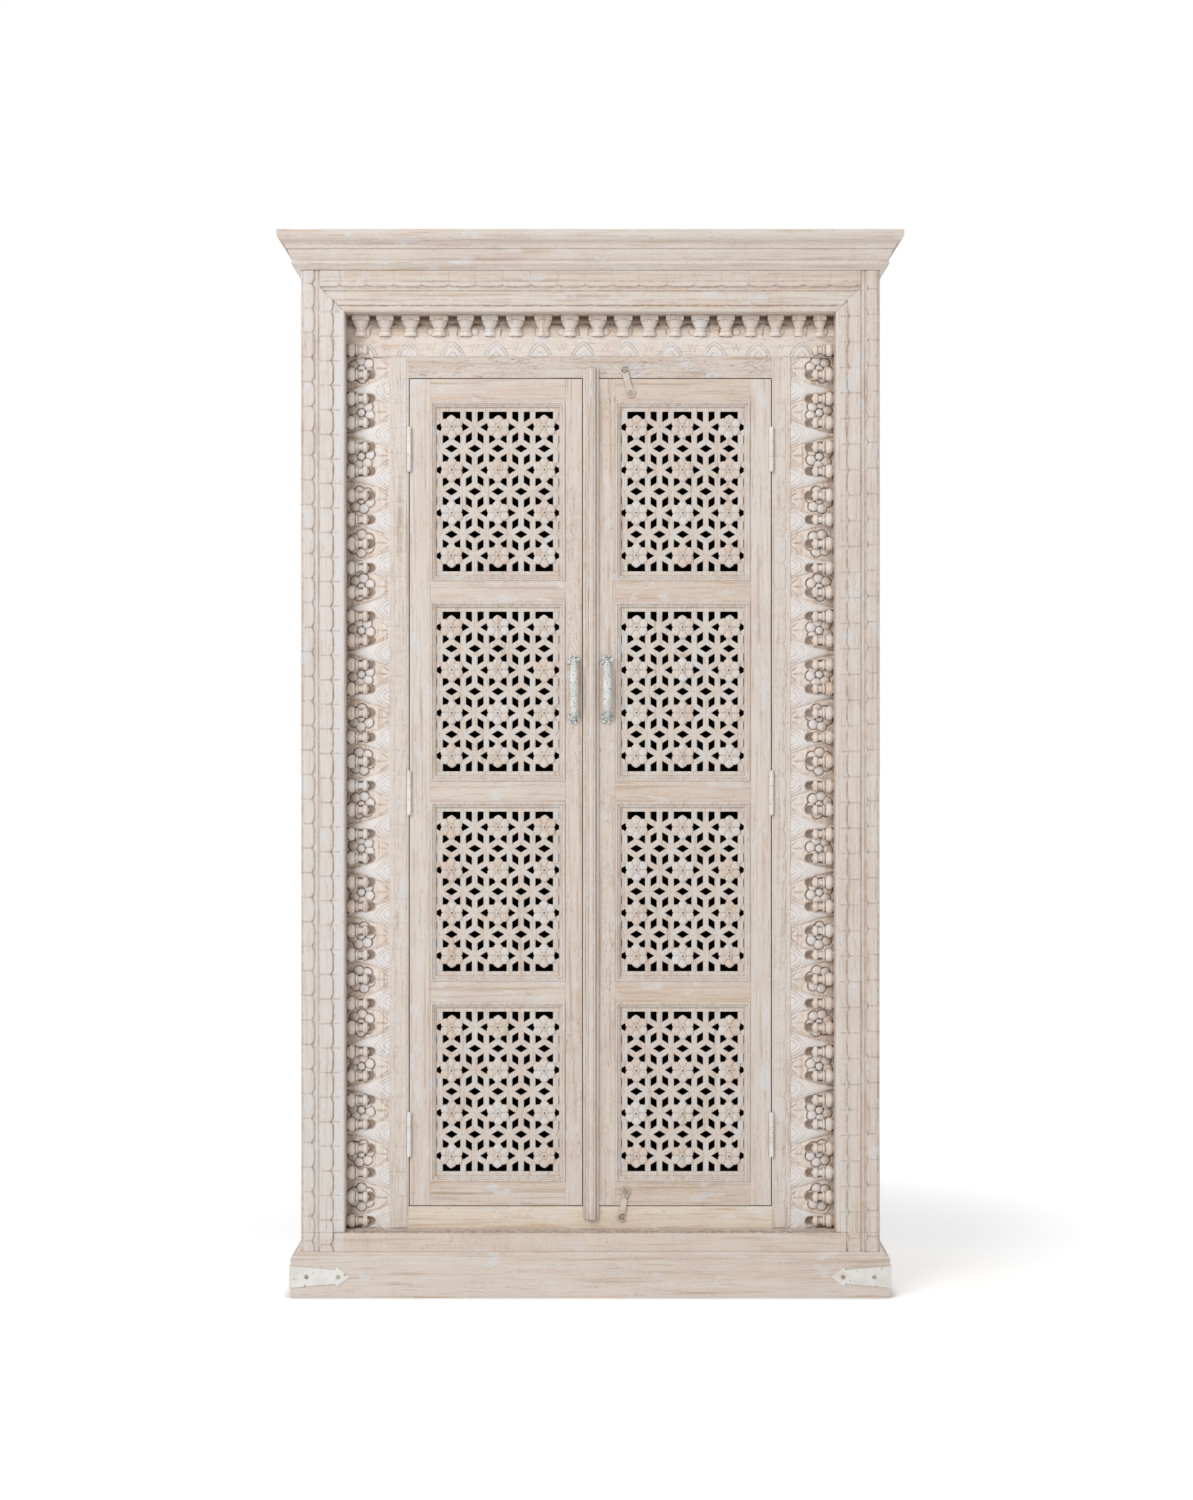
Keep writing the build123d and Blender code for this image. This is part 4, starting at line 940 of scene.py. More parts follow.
def top_band():
    """The level carved board, running over both upright ones."""
    us, vs, u, v = band_places(TOP_BAND_W, -HALF_OPENING, HALF_OPENING)
    drop = soft(u, TOP_LEDGE - 1.5, TOP_LEDGE + 2.5)
    slope = STRIP_OUT - 2.5 - 9.0 * soft(np.abs(v) - JAMB_X, 8.0, 77.0) * (1 - drop)
    from_arch = np.mod(v - TOP_ARCH_X + ARCH_PITCH / 2, ARCH_PITCH) - ARCH_PITCH / 2
    level, glaze, tint = strip_hills(u, ARCH_PITCH / 2 - np.abs(from_arch), slope)
    level, glaze = cut_in((level, glaze), small_marks(u, from_arch), 0.8, 0.34)
    ramp = STRIP_OUT - 5.0 - TOP_RAMP * soft(u, TOP_LEDGE, TOP_BAND_W + 4.0)
    level, glaze = (front * (1 - drop) + back * drop
                    for front, back in zip((level, glaze), behind_spindles(u, from_arch, ramp)))
    glaze = np.maximum(glaze, 0.5 * line(u - 0.9, 0.8))
    level = level + 0.35 * grain_noise(v, u, 33.0, 17.0, 41) + 0.2 * grain_noise(v, u, 9.0, 6.0, 42)

    def place(uu, vv, out):
        return np.stack([vv, -out, LINTEL_Z + uu], -1)

    carve("carving_top", us, vs, settled(level, u, 0.8), place, BAND_BACK_OUT, WASH_CARVED_LEVEL,
          ["carved_band_top"], glaze, tint * (1 - drop))


top_band()

# %% [markdown]
# ## The jambs
# The jambs carry one more row of tiles, cut much shallower than those of the outer
# frame, and a small fan under the left end of the lintel. It is a thin carved face here,
# which lies on the CAD jamb and leaves the hinge edge free.

# %% The shallow tiles of the jambs
JAMB_IN = 324.0
JAMB_CURL = 345.0
JAMB_TILE_TOP = 1574.0
JAMB_FACE = 1.2
JAMB_TILES = {"left": (43.7, 823.8), "right": (47.0, 1191.0)}
FAN_X = 334.0
FAN_ROOT_Z = 1586.0
FAN_TALL = 29.0


def jamb_face(word, side, pitch, joint_z):
    """A carved face on one jamb; one of its joints lies at joint_z."""
    xs = np.linspace(JAMB_IN, JAMB_X - 0.5, 46)
    zs = np.linspace(OPENING_Z0 + 2.0, LINTEL_Z - 2.0, 1100)
    x, z = np.meshgrid(xs, zs, indexing="ij")
    tiles, glaze = tile_run(JAMB_CURL - x, joint_z - z, pitch, 40.0)
    height = JAMB_FACE + 0.42 * (tiles - TILE_PROUD)
    plain = soft(z, JAMB_TILE_TOP, JAMB_TILE_TOP + 2.0)
    height = height * (1 - plain) + JAMB_FACE * plain
    glaze = 0.62 * glaze * (1 - plain)
    if side == LEFT:
        reach = np.hypot(x - FAN_X, z - FAN_ROOT_Z)
        turn = np.arctan2(x - FAN_X, z - FAN_ROOT_Z)
        blade = np.clip(np.cos(turn * 22.0), 0, 1) ** 2 * (np.abs(turn) < 0.40)
        blade = blade * soft(reach, 4.0, 9.0) * soft(FAN_TALL - reach, 0.0, 3.0)
        height = height - 0.9 * blade
        glaze = np.maximum(glaze, 0.60 * blade)
    height = height + 0.12 * grain_noise(x, z, 9.0, 40.0, 60 + side)
    height = np.clip(height, 0.15, JAMB_FACE)

    def place(xx, zz, out):
        return np.stack([side * xx, -(STRIP_OUT + out), zz], -1)

    carve(f"{word}_jamb_tiles", xs, zs, height, place, -0.5, WASH_UP, (), glaze)


for word, side in SIDES.items():
    jamb_face(word, side, *JAMB_TILES[word])

# %% [markdown]
# ## Turned spindles
# Short spindles bridge the gap between outer frame and carving. The upright rows have a
# collar, a bulb, rings and a drum; the row over the doors has a square block and a
# goblet. Each is turned, so it is a stack of rings; no two came off the lathe alike.


# %% Turned work
def turned(profile, steps=28):
    """Rings of a turned form along +Z from (height, radius) pairs."""
    angles = np.arange(steps) * 2 * math.pi / steps
    return [np.stack([r * np.cos(angles), r * np.sin(angles), np.full(steps, float(h))], -1)
            for h, r in profile]


def block(width, depth, low, high, edge):
    """Rings of a squared block with eased edges, from low to high."""
    corners = []
    for sx, sy in ((1, 1), (-1, 1), (-1, -1), (1, -1)):
        for k in range(3):
            turn = math.atan2(sy, sx) - math.pi / 4 + k * math.pi / 4
            corners.append((sx * (width / 2 - edge) + edge * math.cos(turn),
                            sy * (depth / 2 - edge) + edge * math.sin(turn)))
    flat = np.array(corners)
    rings = []
    for z, scale in ((low, 0.93), (low + edge, 1.0), (high - edge, 1.0), (high, 0.93)):
        rings.append(np.column_stack([flat * scale, np.full(len(flat), z)]))
    return rings


def turned_to(points, origin, axis, depth_axis=(0.0, 1.0, 0.0)):
    """Carry points made along +Z so that +Z lies along axis and +Y along depth_axis."""
    axis, depth_axis = np.array(axis, float), np.array(depth_axis, float)
    side_axis = np.cross(depth_axis, axis)
    return points @ np.array([side_axis, depth_axis, axis]) + np.array(origin, float)


# %% [markdown]
# The profiles are read from the foot outwards. In the row over the doors each block is as
# broad as its gap allows, because that row was set out by eye.

# %% The three rows
SIDE_PROFILE = [(0.0, 7.6), (0.8, 8.6), (2.0, 8.7), (2.6, 7.8), (3.2, 8.6), (4.6, 10.6), (6.8, 11.8),
                (9.2, 12.0), (11.6, 11.3), (13.6, 9.6), (14.8, 8.2), (15.2, 6.9), (16.4, 6.6),
                (16.8, 8.1), (17.8, 8.8), (18.8, 8.8), (19.8, 8.1), (20.2, 6.6), (22.6, 5.4),
                (25.8, 5.2), (28.2, 6.0), (29.2, 7.0), (29.6, 8.6), (30.4, 9.2), (35.2, 9.0),
                (36.2, 8.4), (36.8, 7.6), (37.0, 3.4), (39.0, 3.4)]
TOP_PROFILE = [(9.0, 11.4), (9.6, 12.8), (11.4, 13.3), (13.4, 13.0), (16.4, 11.8), (19.4, 10.0),
               (22.0, 8.6), (23.4, 8.2), (24.0, 9.2), (25.4, 9.8), (26.8, 9.7), (27.8, 9.0),
               (28.6, 8.8), (29.4, 9.8), (31.0, 10.8), (34.6, 11.2), (37.0, 11.2), (37.2, 3.4),
               (38.6, 3.4)]
SIDE_CUTS = (2.6, 15.2, 16.4, 20.2, 29.2)
TOP_CUTS = (9.0, 23.4, 28.6)
for word, side in SIDES.items():
    row = Lot()
    for i in range(SPINDLE_COUNT_SIDE):
        swell = 1 + rng.uniform(-0.025, 0.025)
        points, faces = skin(turned([(h, r * (swell if r > 4 else 1.0)) for h, r in SIDE_PROFILE]))
        where = (side * HALF_OPENING, -SPINDLE_OUT, SPINDLE_LOW_Z + i * SPINDLE_PITCH_SIDE)
        row.add((turned_to(points, where, (-side, 0, 0)), faces),
                0.75 * np.isin(np.round(points[:, 2], 1), SIDE_CUTS), rng.uniform(-0.7, 0.25))
    row.make(f"turned_row_{word}", "carcass", WOOD, WASH_CARVED, [f"spindles_{word}"], crease=50.0)

row = Lot()
for i in range(len(TOP_ROW_GAPS) + 1):
    where = (TOP_ROW_START + sum(TOP_ROW_GAPS[:i]), -SPINDLE_OUT, OPENING_Z1)
    tint = rng.uniform(-0.7, 0.1)
    room = min(TOP_ROW_GAPS[max(0, i - 1)], TOP_ROW_GAPS[min(i, len(TOP_ROW_GAPS) - 1)])
    broad = min(room - 13.0, 32.0) + rng.uniform(-1.0, 0.5)
    goblet = turned([(h, r * broad / 29.0) for h, r in TOP_PROFILE])
    for rings in (block(broad, 24.0, 0.0, 9.4, 1.4), goblet):
        points, faces = skin(rings)
        row.add((turned_to(points, where, (0, 0, -1)), faces),
                0.7 * np.isin(np.round(points[:, 2], 1), TOP_CUTS), tint)
row.make("turned_row_top", "carcass", WOOD, WASH_CARVED, ["spindles_top"], crease=50.0)
print("spindles", 2 * SPINDLE_COUNT_SIDE + len(TOP_ROW_GAPS) + 1)

# %% [markdown]
# ## Lattice bars
# The lattice is one pierced board. Its bars make diamonds that meet six at a node and
# three between, and each bar is cut with a groove along its middle and a line at each
# edge. The piercing is in the CAD board; here the cut face of each bar is laid on it,
# with mitred ends, so that lines run on round every hole.

# %% Sizes of the doors and the lattice
PANEL_X = 163.0
PANEL_HEIGHTS = [352.575, 705.525, 1058.475, 1411.425]
PANEL_W = 238.0
PANEL_H = 315.95
LATTICE_OUT = 145.6
NODE_X = 40.9
NODE_Z = 37.85
SPOKE = NODE_Z / 1.5
RIM_X = 108.0
RIM_Z = 141.0
OUTER_ROW = 4
BAR_SECTION = [(4.9, 0.35), (4.4, 1.2), (3.75, 1.55), (3.1, 1.25), (2.5, 1.6), (1.25, 1.75),
               (0.6, 1.6), (0.0, 1.2)]
BAR_GLAZE = [0.10, 0.0, 0.0, 0.34, 0.0, 0.0, 0.05, 0.30]


# %% [markdown]
# A bar's section is carried between its two joints. At each end every point of the section
# stops where it meets the same point of the neighbour, which makes the mitre.

# %% One bar
def mitre_reach(direction, other):
    """How far along a bar its side is cut back, for each millimetre from its middle."""
    between = abs(math.atan2(direction[0] * other[1] - direction[1] * other[0],
                             direction[0] * other[0] + direction[1] * other[1]))
    return 1 / math.tan(between / 2)


def bar(start, end, others, stop_z=None):
    """The cut face of one bar, mitred against its neighbours on each side at both ends."""
    start, end = np.array(start), np.array(end)
    length = float(np.hypot(*(end - start)))
    along = (end - start) / length
    left_of = np.array([-along[1], along[0]])
    half = [(offset, height, glaze) for (offset, height), glaze in zip(BAR_SECTION, BAR_GLAZE)]
    stations = half + [(-offset, height, glaze) for offset, height, glaze in half[-2::-1]]
    near, far = [], []
    for offset, height, _ in stations:
        other = others[0 if offset >= 0 else 1]
        first = abs(offset) * mitre_reach(along, other)
        last = length - abs(offset) * mitre_reach(-along, other)
        if last < first:
            first = last = (first + last) / 2
        for reach, edge in ((first, near), (last, far)):
            at = start + along * reach + left_of * offset
            if stop_z is not None:
                at[1] = min(at[1], stop_z) if stop_z > 0 else max(at[1], stop_z)
            edge.append((at[0], -LATTICE_OUT - height, at[1]))
    count = len(stations)
    lower = [(x, -LATTICE_OUT + 0.5, z) for x, _, z in near + far]
    faces = []
    for i in range(count - 1):
        near_i, far_i, near_low, far_low = (i + row * count for row in range(4))
        faces += [(near_i, near_i + 1, far_i + 1, far_i), (near_low, far_low, far_low + 1, near_low + 1),
                  (near_i, near_low, near_low + 1, near_i + 1), (far_i, far_i + 1, far_low + 1, far_low)]
    faces += [(0, count, 3 * count, 2 * count), (count - 1, 3 * count - 1, 4 * count - 1, 2 * count - 1)]
    glazes = [glaze for _, _, glaze in stations]
    return np.array(near + far + lower), faces, np.array(glazes * 2 + [0.0] * (2 * count))


# %% [markdown]
# Six-way joints stand in rows, every second row shifted by half a step. Each sends six bars
# to three-way joints; bars that would leave the panel are skipped.

# %% All the bars
def lattice_bars():
    """All bars of one panel, round its own middle; each runs from a six-way to a three-way joint."""
    half_x, rise = NODE_X / 2, SPOKE / 2
    six = [(0.0, SPOKE), (-half_x, rise), (-half_x, -rise), (0.0, -SPOKE), (half_x, -rise), (half_x, rise)]
    bars = []
    for row, column in itertools.product(range(-OUTER_ROW, OUTER_ROW + 1), range(-3, 4)):
        node = (column * NODE_X + (0.0 if row % 2 else half_x), row * NODE_Z)
        on_rim = abs(row) == OUTER_ROW
        for k, step in enumerate(six):
            end = (node[0] + step[0], node[1] + step[1])
            outward = (row == OUTER_ROW - 1 and k == 0) or (row == 1 - OUTER_ROW and k == 3)
            past_side = max(abs(node[0]), abs(end[0])) > RIM_X - 5.0
            past_end = min(abs(node[1]), abs(end[1])) > RIM_Z
            wrong_way = on_rim and (k not in (0, 3) or abs(end[1]) > abs(node[1]))
            if past_side or past_end or wrong_way or (outward and column % 2 == 0):
                continue
            stop = math.copysign(RIM_Z, row) if on_rim else None
            bars.append(bar(node, end, (six[(k + 1) % 6], six[(k - 1) % 6]), stop))
    return bars


one_panel = lattice_bars()
for word, side in SIDES.items():
    bars = Lot()
    for height in PANEL_HEIGHTS:
        for points, faces, cut in one_panel:
            middle = np.array([side * PANEL_X, 0.0, height])
            bars.add((points + middle, faces), cut, rng.uniform(-0.55, 0.45))
    bars.make(f"{word}_lattice_faces", f"{word}_door", WOOD, WASH_UP, crease=20.0)
print("bars in a panel", len(one_panel))

# %% [markdown]
# ## Rosettes
# Each rosette is a thin disc carved into six petals with peaked ends, round a button
# that a nail holds on the lattice. Paint sits unevenly, so petals differ in colour.

# %% The rosettes
ROSETTE_PLACES = [(column * 2 * NODE_X, row * NODE_Z) for column in (-1, 0, 1) for row in (-3, -1, 1, 3)]


def rounded(corners, rounds=2):
    """A polygon with its corners cut off again and again."""
    shape = np.array(corners, float)
    for _ in range(rounds):
        following = np.roll(shape, -1, axis=0)
        shape = np.stack([0.84 * shape + 0.16 * following, 0.16 * shape + 0.84 * following], 1).reshape(-1, 2)
    return shape


PETAL = rounded([(5.2, 2.8), (14.6, 8.3), (17.4, 7.3), (22.2, 0.0), (17.4, -7.3), (14.6, -8.3), (5.2, -2.8)])


def petal_rings(turn, lift):
    """A pillowed petal; the rings shrink towards its middle as they rise."""
    centre = np.array([13.2, 0.0])
    rings, cut = [], []
    for scale, height, glaze in ((1.0, -1.0, 0.4), (1.0, 1.8, 0.25), (0.97, 2.9, 0.05), (0.88, 3.7, 0.0),
                                 (0.70, 4.4, 0.0), (0.42, 4.75, 0.0), (0.15, 4.85, 0.0)):
        flat = centre + (PETAL - centre) * scale
        x = flat[:, 0] * math.cos(turn) - flat[:, 1] * math.sin(turn)
        z = flat[:, 0] * math.sin(turn) + flat[:, 1] * math.cos(turn)
        rings.append(np.stack([x, np.full(len(x), -LATTICE_OUT - height * lift), z], -1))
        cut += [glaze] * len(x)
    return rings, cut


# %% [markdown]
# The petals stand round a button with a nail pit, on a disc that closes the gaps between
# them. Each flower is turned and shifted a little, as nailing by hand does.

# %% Nailing the rosettes
BUTTON = [(-1.0, 6.5), (3.6, 6.5), (4.6, 6.1), (4.9, 5.5), (4.6, 5.0), (4.5, 4.6), (5.0, 4.2),
          (5.6, 3.2), (5.9, 2.3), (5.9, 1.7), (3.4, 1.6), (3.2, 0.6)]
BUTTON_GLAZE = [0.5, 0.4, 0.0, 0.0, 0.45, 0.45, 0.0, 0.0, 0.0, 0.5, 1.0, 1.0]
DISC = [(-1.0, 17.2), (2.3, 17.2), (2.8, 16.4)]
for word, side in SIDES.items():
    flowers = Lot()
    for height, (x, z) in itertools.product(PANEL_HEIGHTS, ROSETTE_PLACES):
        spin = rng.uniform(-0.06, 0.06)
        off_x, off_z = rng.uniform(-0.5, 0.5), rng.uniform(-0.5, 0.5)
        shift = np.array([side * PANEL_X + x + off_x, 0.0, height + z + off_z])
        mood = rng.uniform(-0.5, 0.5)
        for k in range(6):
            rings, cut = petal_rings(math.pi / 2 + k * math.pi / 3 + spin, 1 + rng.uniform(-0.07, 0.05))
            points, faces = skin(rings)
            flowers.add((points + shift, faces), cut, np.clip(mood + rng.uniform(-0.6, 0.6), -1, 1))
        for profile, shades in ((BUTTON, BUTTON_GLAZE), (DISC, [0.1] * len(DISC))):
            points, faces = skin(turned(profile, 20))
            where = shift + np.array([0, -LATTICE_OUT, 0])
            flowers.add((turned_to(points, where, (0, -1, 0), (0, 0, 1)), faces),
                        np.repeat(shades, 20), mood)
    flowers.make(f"{word}_flowers", f"{word}_door", WOOD, WASH_UP, [f"{word}_rosettes"], crease=40.0)
print("rosettes", 2 * len(PANEL_HEIGHTS) * len(ROSETTE_PLACES))

# %% [markdown]
# ## Panel mouldings
# A mitred bead frames every lattice: a round nose, a quirk and two small steps down to
# the lattice. The back has a plain eased bead. A moulding plane would cut both.

# %% The mouldings
DOOR_OUT = 151.6
FRONT_BEAD = [(0.0, 151.0), (0.0, 152.6), (0.7, 153.5), (1.8, 154.0), (3.0, 153.9), (3.8, 153.3),
              (4.1, 152.3), (4.6, 151.7), (5.3, 151.8), (6.6, 151.2), (7.0, 150.0), (7.8, 149.8),
              (8.9, 149.2), (9.2, 148.0), (10.0, 147.4), (10.0, 145.6), (0.0, 145.6)]
FRONT_GLAZE = [0.6, 0.1, 0, 0, 0, 0.1, 0.6, 0.5, 0, 0.0, 0.5, 0.0, 0.0, 0.5, 0.1, 0.3, 0.3]
BACK_BEAD = [(0.0, 133.6), (10.0, 133.6), (10.0, 129.4), (9.0, 127.6), (7.0, 126.9), (0.0, 126.6)]


def carried_round(section, half_w, half_h, centre):
    """A section carried round a rectangle with mitred corners."""
    points, faces = [], []
    count = len(section)
    for sx, sz in ((1, 1), (-1, 1), (-1, -1), (1, -1)):
        for inset, out in section:
            points.append((centre[0] + sx * (half_w - inset), -out, centre[1] + sz * (half_h - inset)))
    for corner in range(4):
        base, following = corner * count, ((corner + 1) % 4) * count
        for i in range(count):
            j = (i + 1) % count
            faces.append((base + i, base + j, following + j, following + i))
    return np.array(points), faces


for word, side in SIDES.items():
    beads = Lot()
    for height in PANEL_HEIGHTS:
        for section, glaze in ((FRONT_BEAD, FRONT_GLAZE), (BACK_BEAD, [0.0] * len(BACK_BEAD))):
            beads.add(carried_round(section, PANEL_W / 2, PANEL_H / 2, (side * PANEL_X, height)),
                      np.array(glaze * 4) * 0.8)
    beads.make(f"{word}_beads", f"{word}_door", WOOD, WASH_UP, [f"{word}_mouldings"], False, 28.0)
print("beads", 4 * len(PANEL_HEIGHTS))

# %% [markdown]
# ## The cover strip
# The strip that hides the meeting of the doors is planed with a flat middle, a small
# round on each side of it and a lower step at both edges.

# %% The cover strip
strip_low, strip_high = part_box("astragal")
x0, x1 = strip_low.x / MM, strip_high.x / MM
out_0, out_1 = -strip_high.y / MM, -strip_low.y / MM
STRIP_SECTION = [(0.0, 0.0), (0.0, 3.4), (0.9, 4.4), (3.0, 4.9), (5.2, 4.7), (5.9, 5.6), (6.0, 9.8),
                 (6.7, 11.8), (7.8, 12.7), (8.9, 12.5), (9.6, 11.7), (10.2, 12.3), (11.2, 12.7),
                 (17.0, 12.8), (18.0, 12.3), (18.6, 11.7), (19.3, 12.5), (20.4, 12.7), (21.5, 11.8),
                 (22.2, 9.8), (22.3, 5.6), (23.0, 4.7), (25.2, 4.9), (27.3, 4.4), (28.2, 3.4),
                 (28.2, 0.0)]
STRIP_GLAZE = [0, 0.1, 0, 0, 0.3, 0.7, 0.2, 0, 0, 0.2, 0.7, 0.2, 0]
STRIP_GLAZE += STRIP_GLAZE[::-1]
rings = []
for z, inset in ((strip_low.z / MM, 0.8), (strip_low.z / MM + 0.8, 0.0), (880.0, 0.0),
                 (strip_high.z / MM - 0.8, 0.0), (strip_high.z / MM, 0.8)):
    rings.append(np.array([(x0 + inset + (x1 - x0 - 2 * inset) * a / 28.2,
                            -(out_0 + (out_1 - out_0 - inset) * b / 13.0), z) for a, b in STRIP_SECTION]))
points, faces = skin(rings)
make_piece("cover_strip", points, faces, "right_door", WOOD, WASH_UP, ["astragal"],
           np.array(STRIP_GLAZE * len(rings)) * 0.5, crease=30.0)
print("cover strip", round(x0, 1), "to", round(x1, 1), "out", round(out_0, 1), "to", round(out_1, 1))

# %% [markdown]
# ## Pull handles
# A cast handle bows out between two small flowers, which are screwed through the lock
# stile. The grip is flattened and swells in the middle. The flowers have six petals
# round a domed screw.

# %% The handles
HANDLE_Z = 1062.0
HANDLE_SPAN = 100.0


def ellipse(count, half_a, half_b):
    """Points round an ellipse, as two arrays."""
    angles = 2 * math.pi * np.arange(count) / count
    return half_a * np.cos(angles), half_b * np.sin(angles)


def handle_rings(x):
    """The bowed grip, as rings along its path in the upright plane through x."""
    rings = []
    for t in np.linspace(0.0, math.pi, 23):
        up, over = math.cos(t), math.sin(t)
        out = DOOR_OUT + 5.0 + 17.5 * over ** 0.55
        tilt = math.atan2(0.62 * up, over)
        across, rise = ellipse(16, 3.8 + 3.2 * over ** 1.5, 3.2 + 0.6 * over)
        rings.append(np.stack([x + across, -(out + rise * math.cos(tilt)),
                               HANDLE_Z + HANDLE_SPAN / 2 * up + rise * 0.5 * math.sin(tilt)], -1))
    return rings


def handle_flower(x, z, spin):
    """Forms and glaze of a domed base with six broad petals and a screw, standing on the door."""
    petals = 6
    forms = [(skin(turned([(0.0, 9.4), (1.6, 9.8), (3.0, 9.0), (4.0, 6.6)], 24)), 0.35)]
    for turn in spin + np.arange(petals) * 2 * math.pi / petals:
        rings = []
        for scale, height in ((1.0, 0.0), (1.0, 1.5), (0.90, 2.9), (0.66, 4.0), (0.30, 4.5)):
            r, w = ellipse(14, 4.7 * scale, 4.7 * scale)
            r = r + 7.6
            rings.append(np.stack([r * math.cos(turn) - w * math.sin(turn),
                                   r * math.sin(turn) + w * math.cos(turn), np.full(14, height)], -1))
        forms.append((skin(rings), 0.0))
    forms.append((skin(turned([(1.0, 5.2), (4.6, 5.2), (6.2, 4.6), (7.4, 3.2), (7.9, 1.4)], 20)), 0.0))
    return [((turned_to(points, (x, -DOOR_OUT, z), (0, -1, 0), (0, 0, 1)), faces), cut)
            for (points, faces), cut in forms]


for word, side in SIDES.items():
    low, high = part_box(f"{word}_handle")
    x = (low.x + high.x) / 2 / MM
    pull = Lot()
    pull.add(skin(handle_rings(x)))
    for sign in (-1, 1):
        for form, cut in handle_flower(x, HANDLE_Z + sign * HANDLE_SPAN / 2, 0.2 * sign):
            pull.add(form, cut)
    points = pull.make(f"{word}_pull", f"{word}_door", "worn_painted_iron", IRON_WORN,
                       [f"{word}_handle"], False, 55.0)
    print(word, "handle at x", round(x, 2), "out to", round(float(-points[:, 1].min()), 1))

# %% [markdown]
# ## Boards that keep their CAD shape
# Stiles, rails, jambs, crown, plinth and the inside boards are right as they are. They
# get their finish, and their arrises are eased the way a hand plane would.

# %% Finishes and eased edges for the CAD boards
def finish_board(node, material, ease):
    """Give a CAD node its material and, if asked, soft edges in millimetres."""
    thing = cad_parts[node]
    if thing.material_slots:
        for holder in thing.material_slots:
            holder.link = "OBJECT"
            holder.material = material
    else:
        thing.data.materials.append(material)
    if ease:
        weld = thing.modifiers.new("weld", "WELD")
        weld.merge_threshold = 0.00001
        bevel = thing.modifiers.new("ease", "BEVEL")
        bevel.width = ease * MM
        bevel.segments = 2
        bevel.limit_method = "ANGLE"
        bevel.angle_limit = math.radians(40)
        bevel.harden_normals = False
        smooth = thing.modifiers.new("even", "WEIGHTED_NORMAL")
        smooth.keep_sharp = False


def both(*patterns):
    """The nodes of a left and right pair, or of several pairs."""
    return [pattern.format(word) for pattern in patterns for word in SIDES]


LEVEL_BOARDS = ["crown_front", "base_moulding_front", "plinth_front", "plinth_back", "top_board"]
UPRIGHT_BOARDS = both("door_jamb_{}", "{}_hinge_stile", "side_panel_{}")
DEEP_BOARDS = both("crown_{}", "base_moulding_{}", "plinth_{}")
DARK_BOARDS = ["back_panel", "bottom_board", "upper_shelf", "middle_shelf", "lower_shelf", "shelf_cleats"]
WHITE_IRON = ["hinge_pins", *both("{}_hinge_door_leaves", "{}_hinge_frame_leaves")]
SCREWS = ["hook_screws", "latch_pegs", "corner_strap_screws"]
for names, material, ease in ((LEVEL_BOARDS, WASH_LEVEL, 0.8), (["left_rails"], WASH_RAIL, 0.7),
                              (["right_rails"], WASH_RAIL_WARM, 0.7), (["door_sill"], WASH_SILL, 0.7),
                              (["door_lintel"], WASH_SCUFFED, 0.7), (UPRIGHT_BOARDS, WASH_UP, 0.7),
                              (both("{}_lock_stile"), WASH_STILE, 0.7),
                              (both("{}_lattices"), WASH_PIERCED, 0.4),
                              (DEEP_BOARDS, WASH_DEEP, 0.8), (DARK_BOARDS, INSIDE_SHADE, 0.8),
                              (["top_hook", "bottom_hook"], IRON_CREAM, 0.3), (WHITE_IRON, IRON_WHITE, 0.3),
                              (both("corner_strap_{}"), IRON_WHITE, 0.0), (SCREWS, IRON_SCREW, 0.25)):
    for node in names:
        finish_board(node, material, ease)
print("finished boards and irons that keep their CAD shape")

# %% [markdown]
# ## Floor, light and camera
# A pale floor and soft light from the upper left, as in a studio. The camera stands on
# the middle line, about breast high, and looks straight at the front.


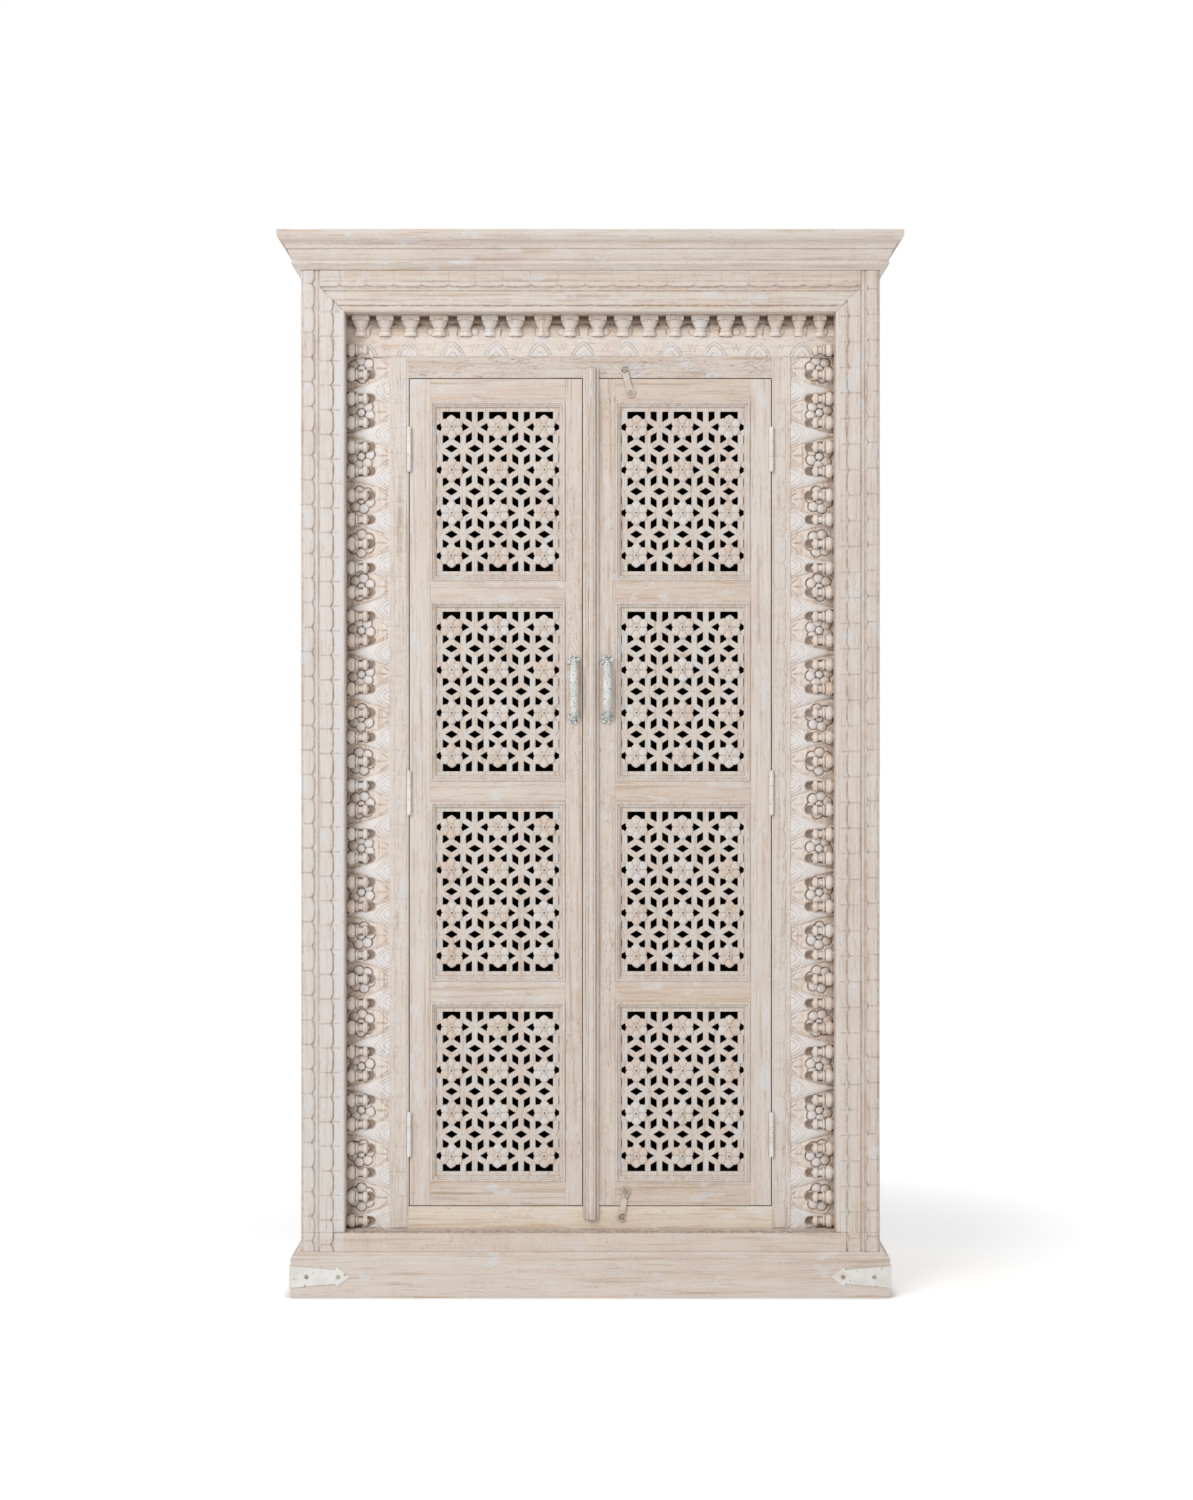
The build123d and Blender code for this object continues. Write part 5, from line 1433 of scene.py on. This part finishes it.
# %% Stage
def pale_floor():
    """A nearly white floor that glows for the camera and keeps a soft shadow; its glow is cut where it meets
    the cabinet, a painted contact shadow.
    """
    material, shader, wire, at = new_finish("pale_floor")
    shader.inputs["Base Color"].default_value = (0.93, 0.93, 0.93, 1.0)
    shader.inputs["Roughness"].default_value = 0.9
    shader.inputs["Specular IOR Level"].default_value = 0.1
    away = wire.node("ShaderNodeVectorMath", {"operation": "LENGTH"}, {0: at}, out=1)
    seen = wire.node("ShaderNodeLightPath", out=0)
    contact_shade = wire.node("ShaderNodeAmbientOcclusion", {"samples": 8}, {"Distance": 0.03}, out=1)
    # painted shade: the camera glow grows with distance and is cut where the floor meets the cabinet
    lift = (away.step(0.7, 2.6) * 0.8 + 0.40) * seen * contact_shade.step(0.45, 0.95)
    lift.mix((0.0, 0.0, 0.0), (1.0, 1.0, 1.0)).feed(shader, "Emission Color")
    shader.inputs["Emission Strength"].default_value = 1.0
    reach = 60.0
    mesh = bpy.data.meshes.new("floor")
    mesh.from_pydata([(-reach, -reach, 0), (reach, -reach, 0), (reach, reach, 0), (-reach, reach, 0)], [],
                     [(0, 1, 2, 3)])
    mesh.materials.append(material)
    floor = bpy.data.objects.new("floor", mesh)
    bpy.context.scene.collection.objects.link(floor)


def area_light(name, place, target, size, power):
    """A square soft light that looks at a target."""
    data = bpy.data.lights.new(name, "AREA")
    data.shape = "SQUARE"
    data.size = size
    data.energy = power
    light = bpy.data.objects.new(name, data)
    bpy.context.scene.collection.objects.link(light)
    light.location = place
    aim = np.array(target) - np.array(place)
    yaw = math.atan2(aim[0], aim[1])
    pitch = math.atan2(aim[2], math.hypot(aim[0], aim[1]))
    light.rotation_euler = (math.pi / 2 + pitch, 0.0, -yaw)


SKY = 0.50
pale_floor()
world = bpy.data.worlds.new("studio")
bpy.context.scene.world = world
world.use_nodes = True
sky = world.node_tree
sky.nodes.clear()
wire = Wire(sky)
seen = wire.node("ShaderNodeLightPath", out=0)
strength = seen * (1.0 - SKY) + SKY
back = wire.node("ShaderNodeBackground", None, {"Color": (1.0, 1.0, 1.0, 1.0), "Strength": strength})
output = sky.nodes.new("ShaderNodeOutputWorld")
sky.links.new(back.socket, output.inputs["Surface"])
area_light("key", (-2.8, -4.8, 3.8), (0.0, -0.1, 1.0), 3.0, 160.0)
area_light("fill", (3.2, -4.4, 2.2), (0.0, -0.1, 0.9), 3.0, 9.0)

# %% [markdown]
# The lens is long, so that the front keeps its right angles. Its length follows from how
# far away the front stands and how many millimetres fall on a pixel.

# %% Camera
SENSOR = 36.0
FRONT_AWAY = 4750.0
MM_PER_PIXEL = 1.75
PICTURE_TALL = 1500.0
eye = bpy.data.cameras.new("camera")
camera = bpy.data.objects.new("camera", eye)
bpy.context.scene.collection.objects.link(camera)
camera.location = (0.0, -4.936, 0.9817)
camera.rotation_euler = (math.pi / 2, 0.0, 0.0)
eye.sensor_width = SENSOR
eye.lens = SENSOR * FRONT_AWAY / (PICTURE_TALL * MM_PER_PIXEL)
eye.shift_x = 6.2 / PICTURE_TALL
eye.shift_y = -15.0 / PICTURE_TALL
bpy.context.scene.camera = camera
bpy.context.scene.view_settings.view_transform = "Standard"
print("lens", round(eye.lens, 2))
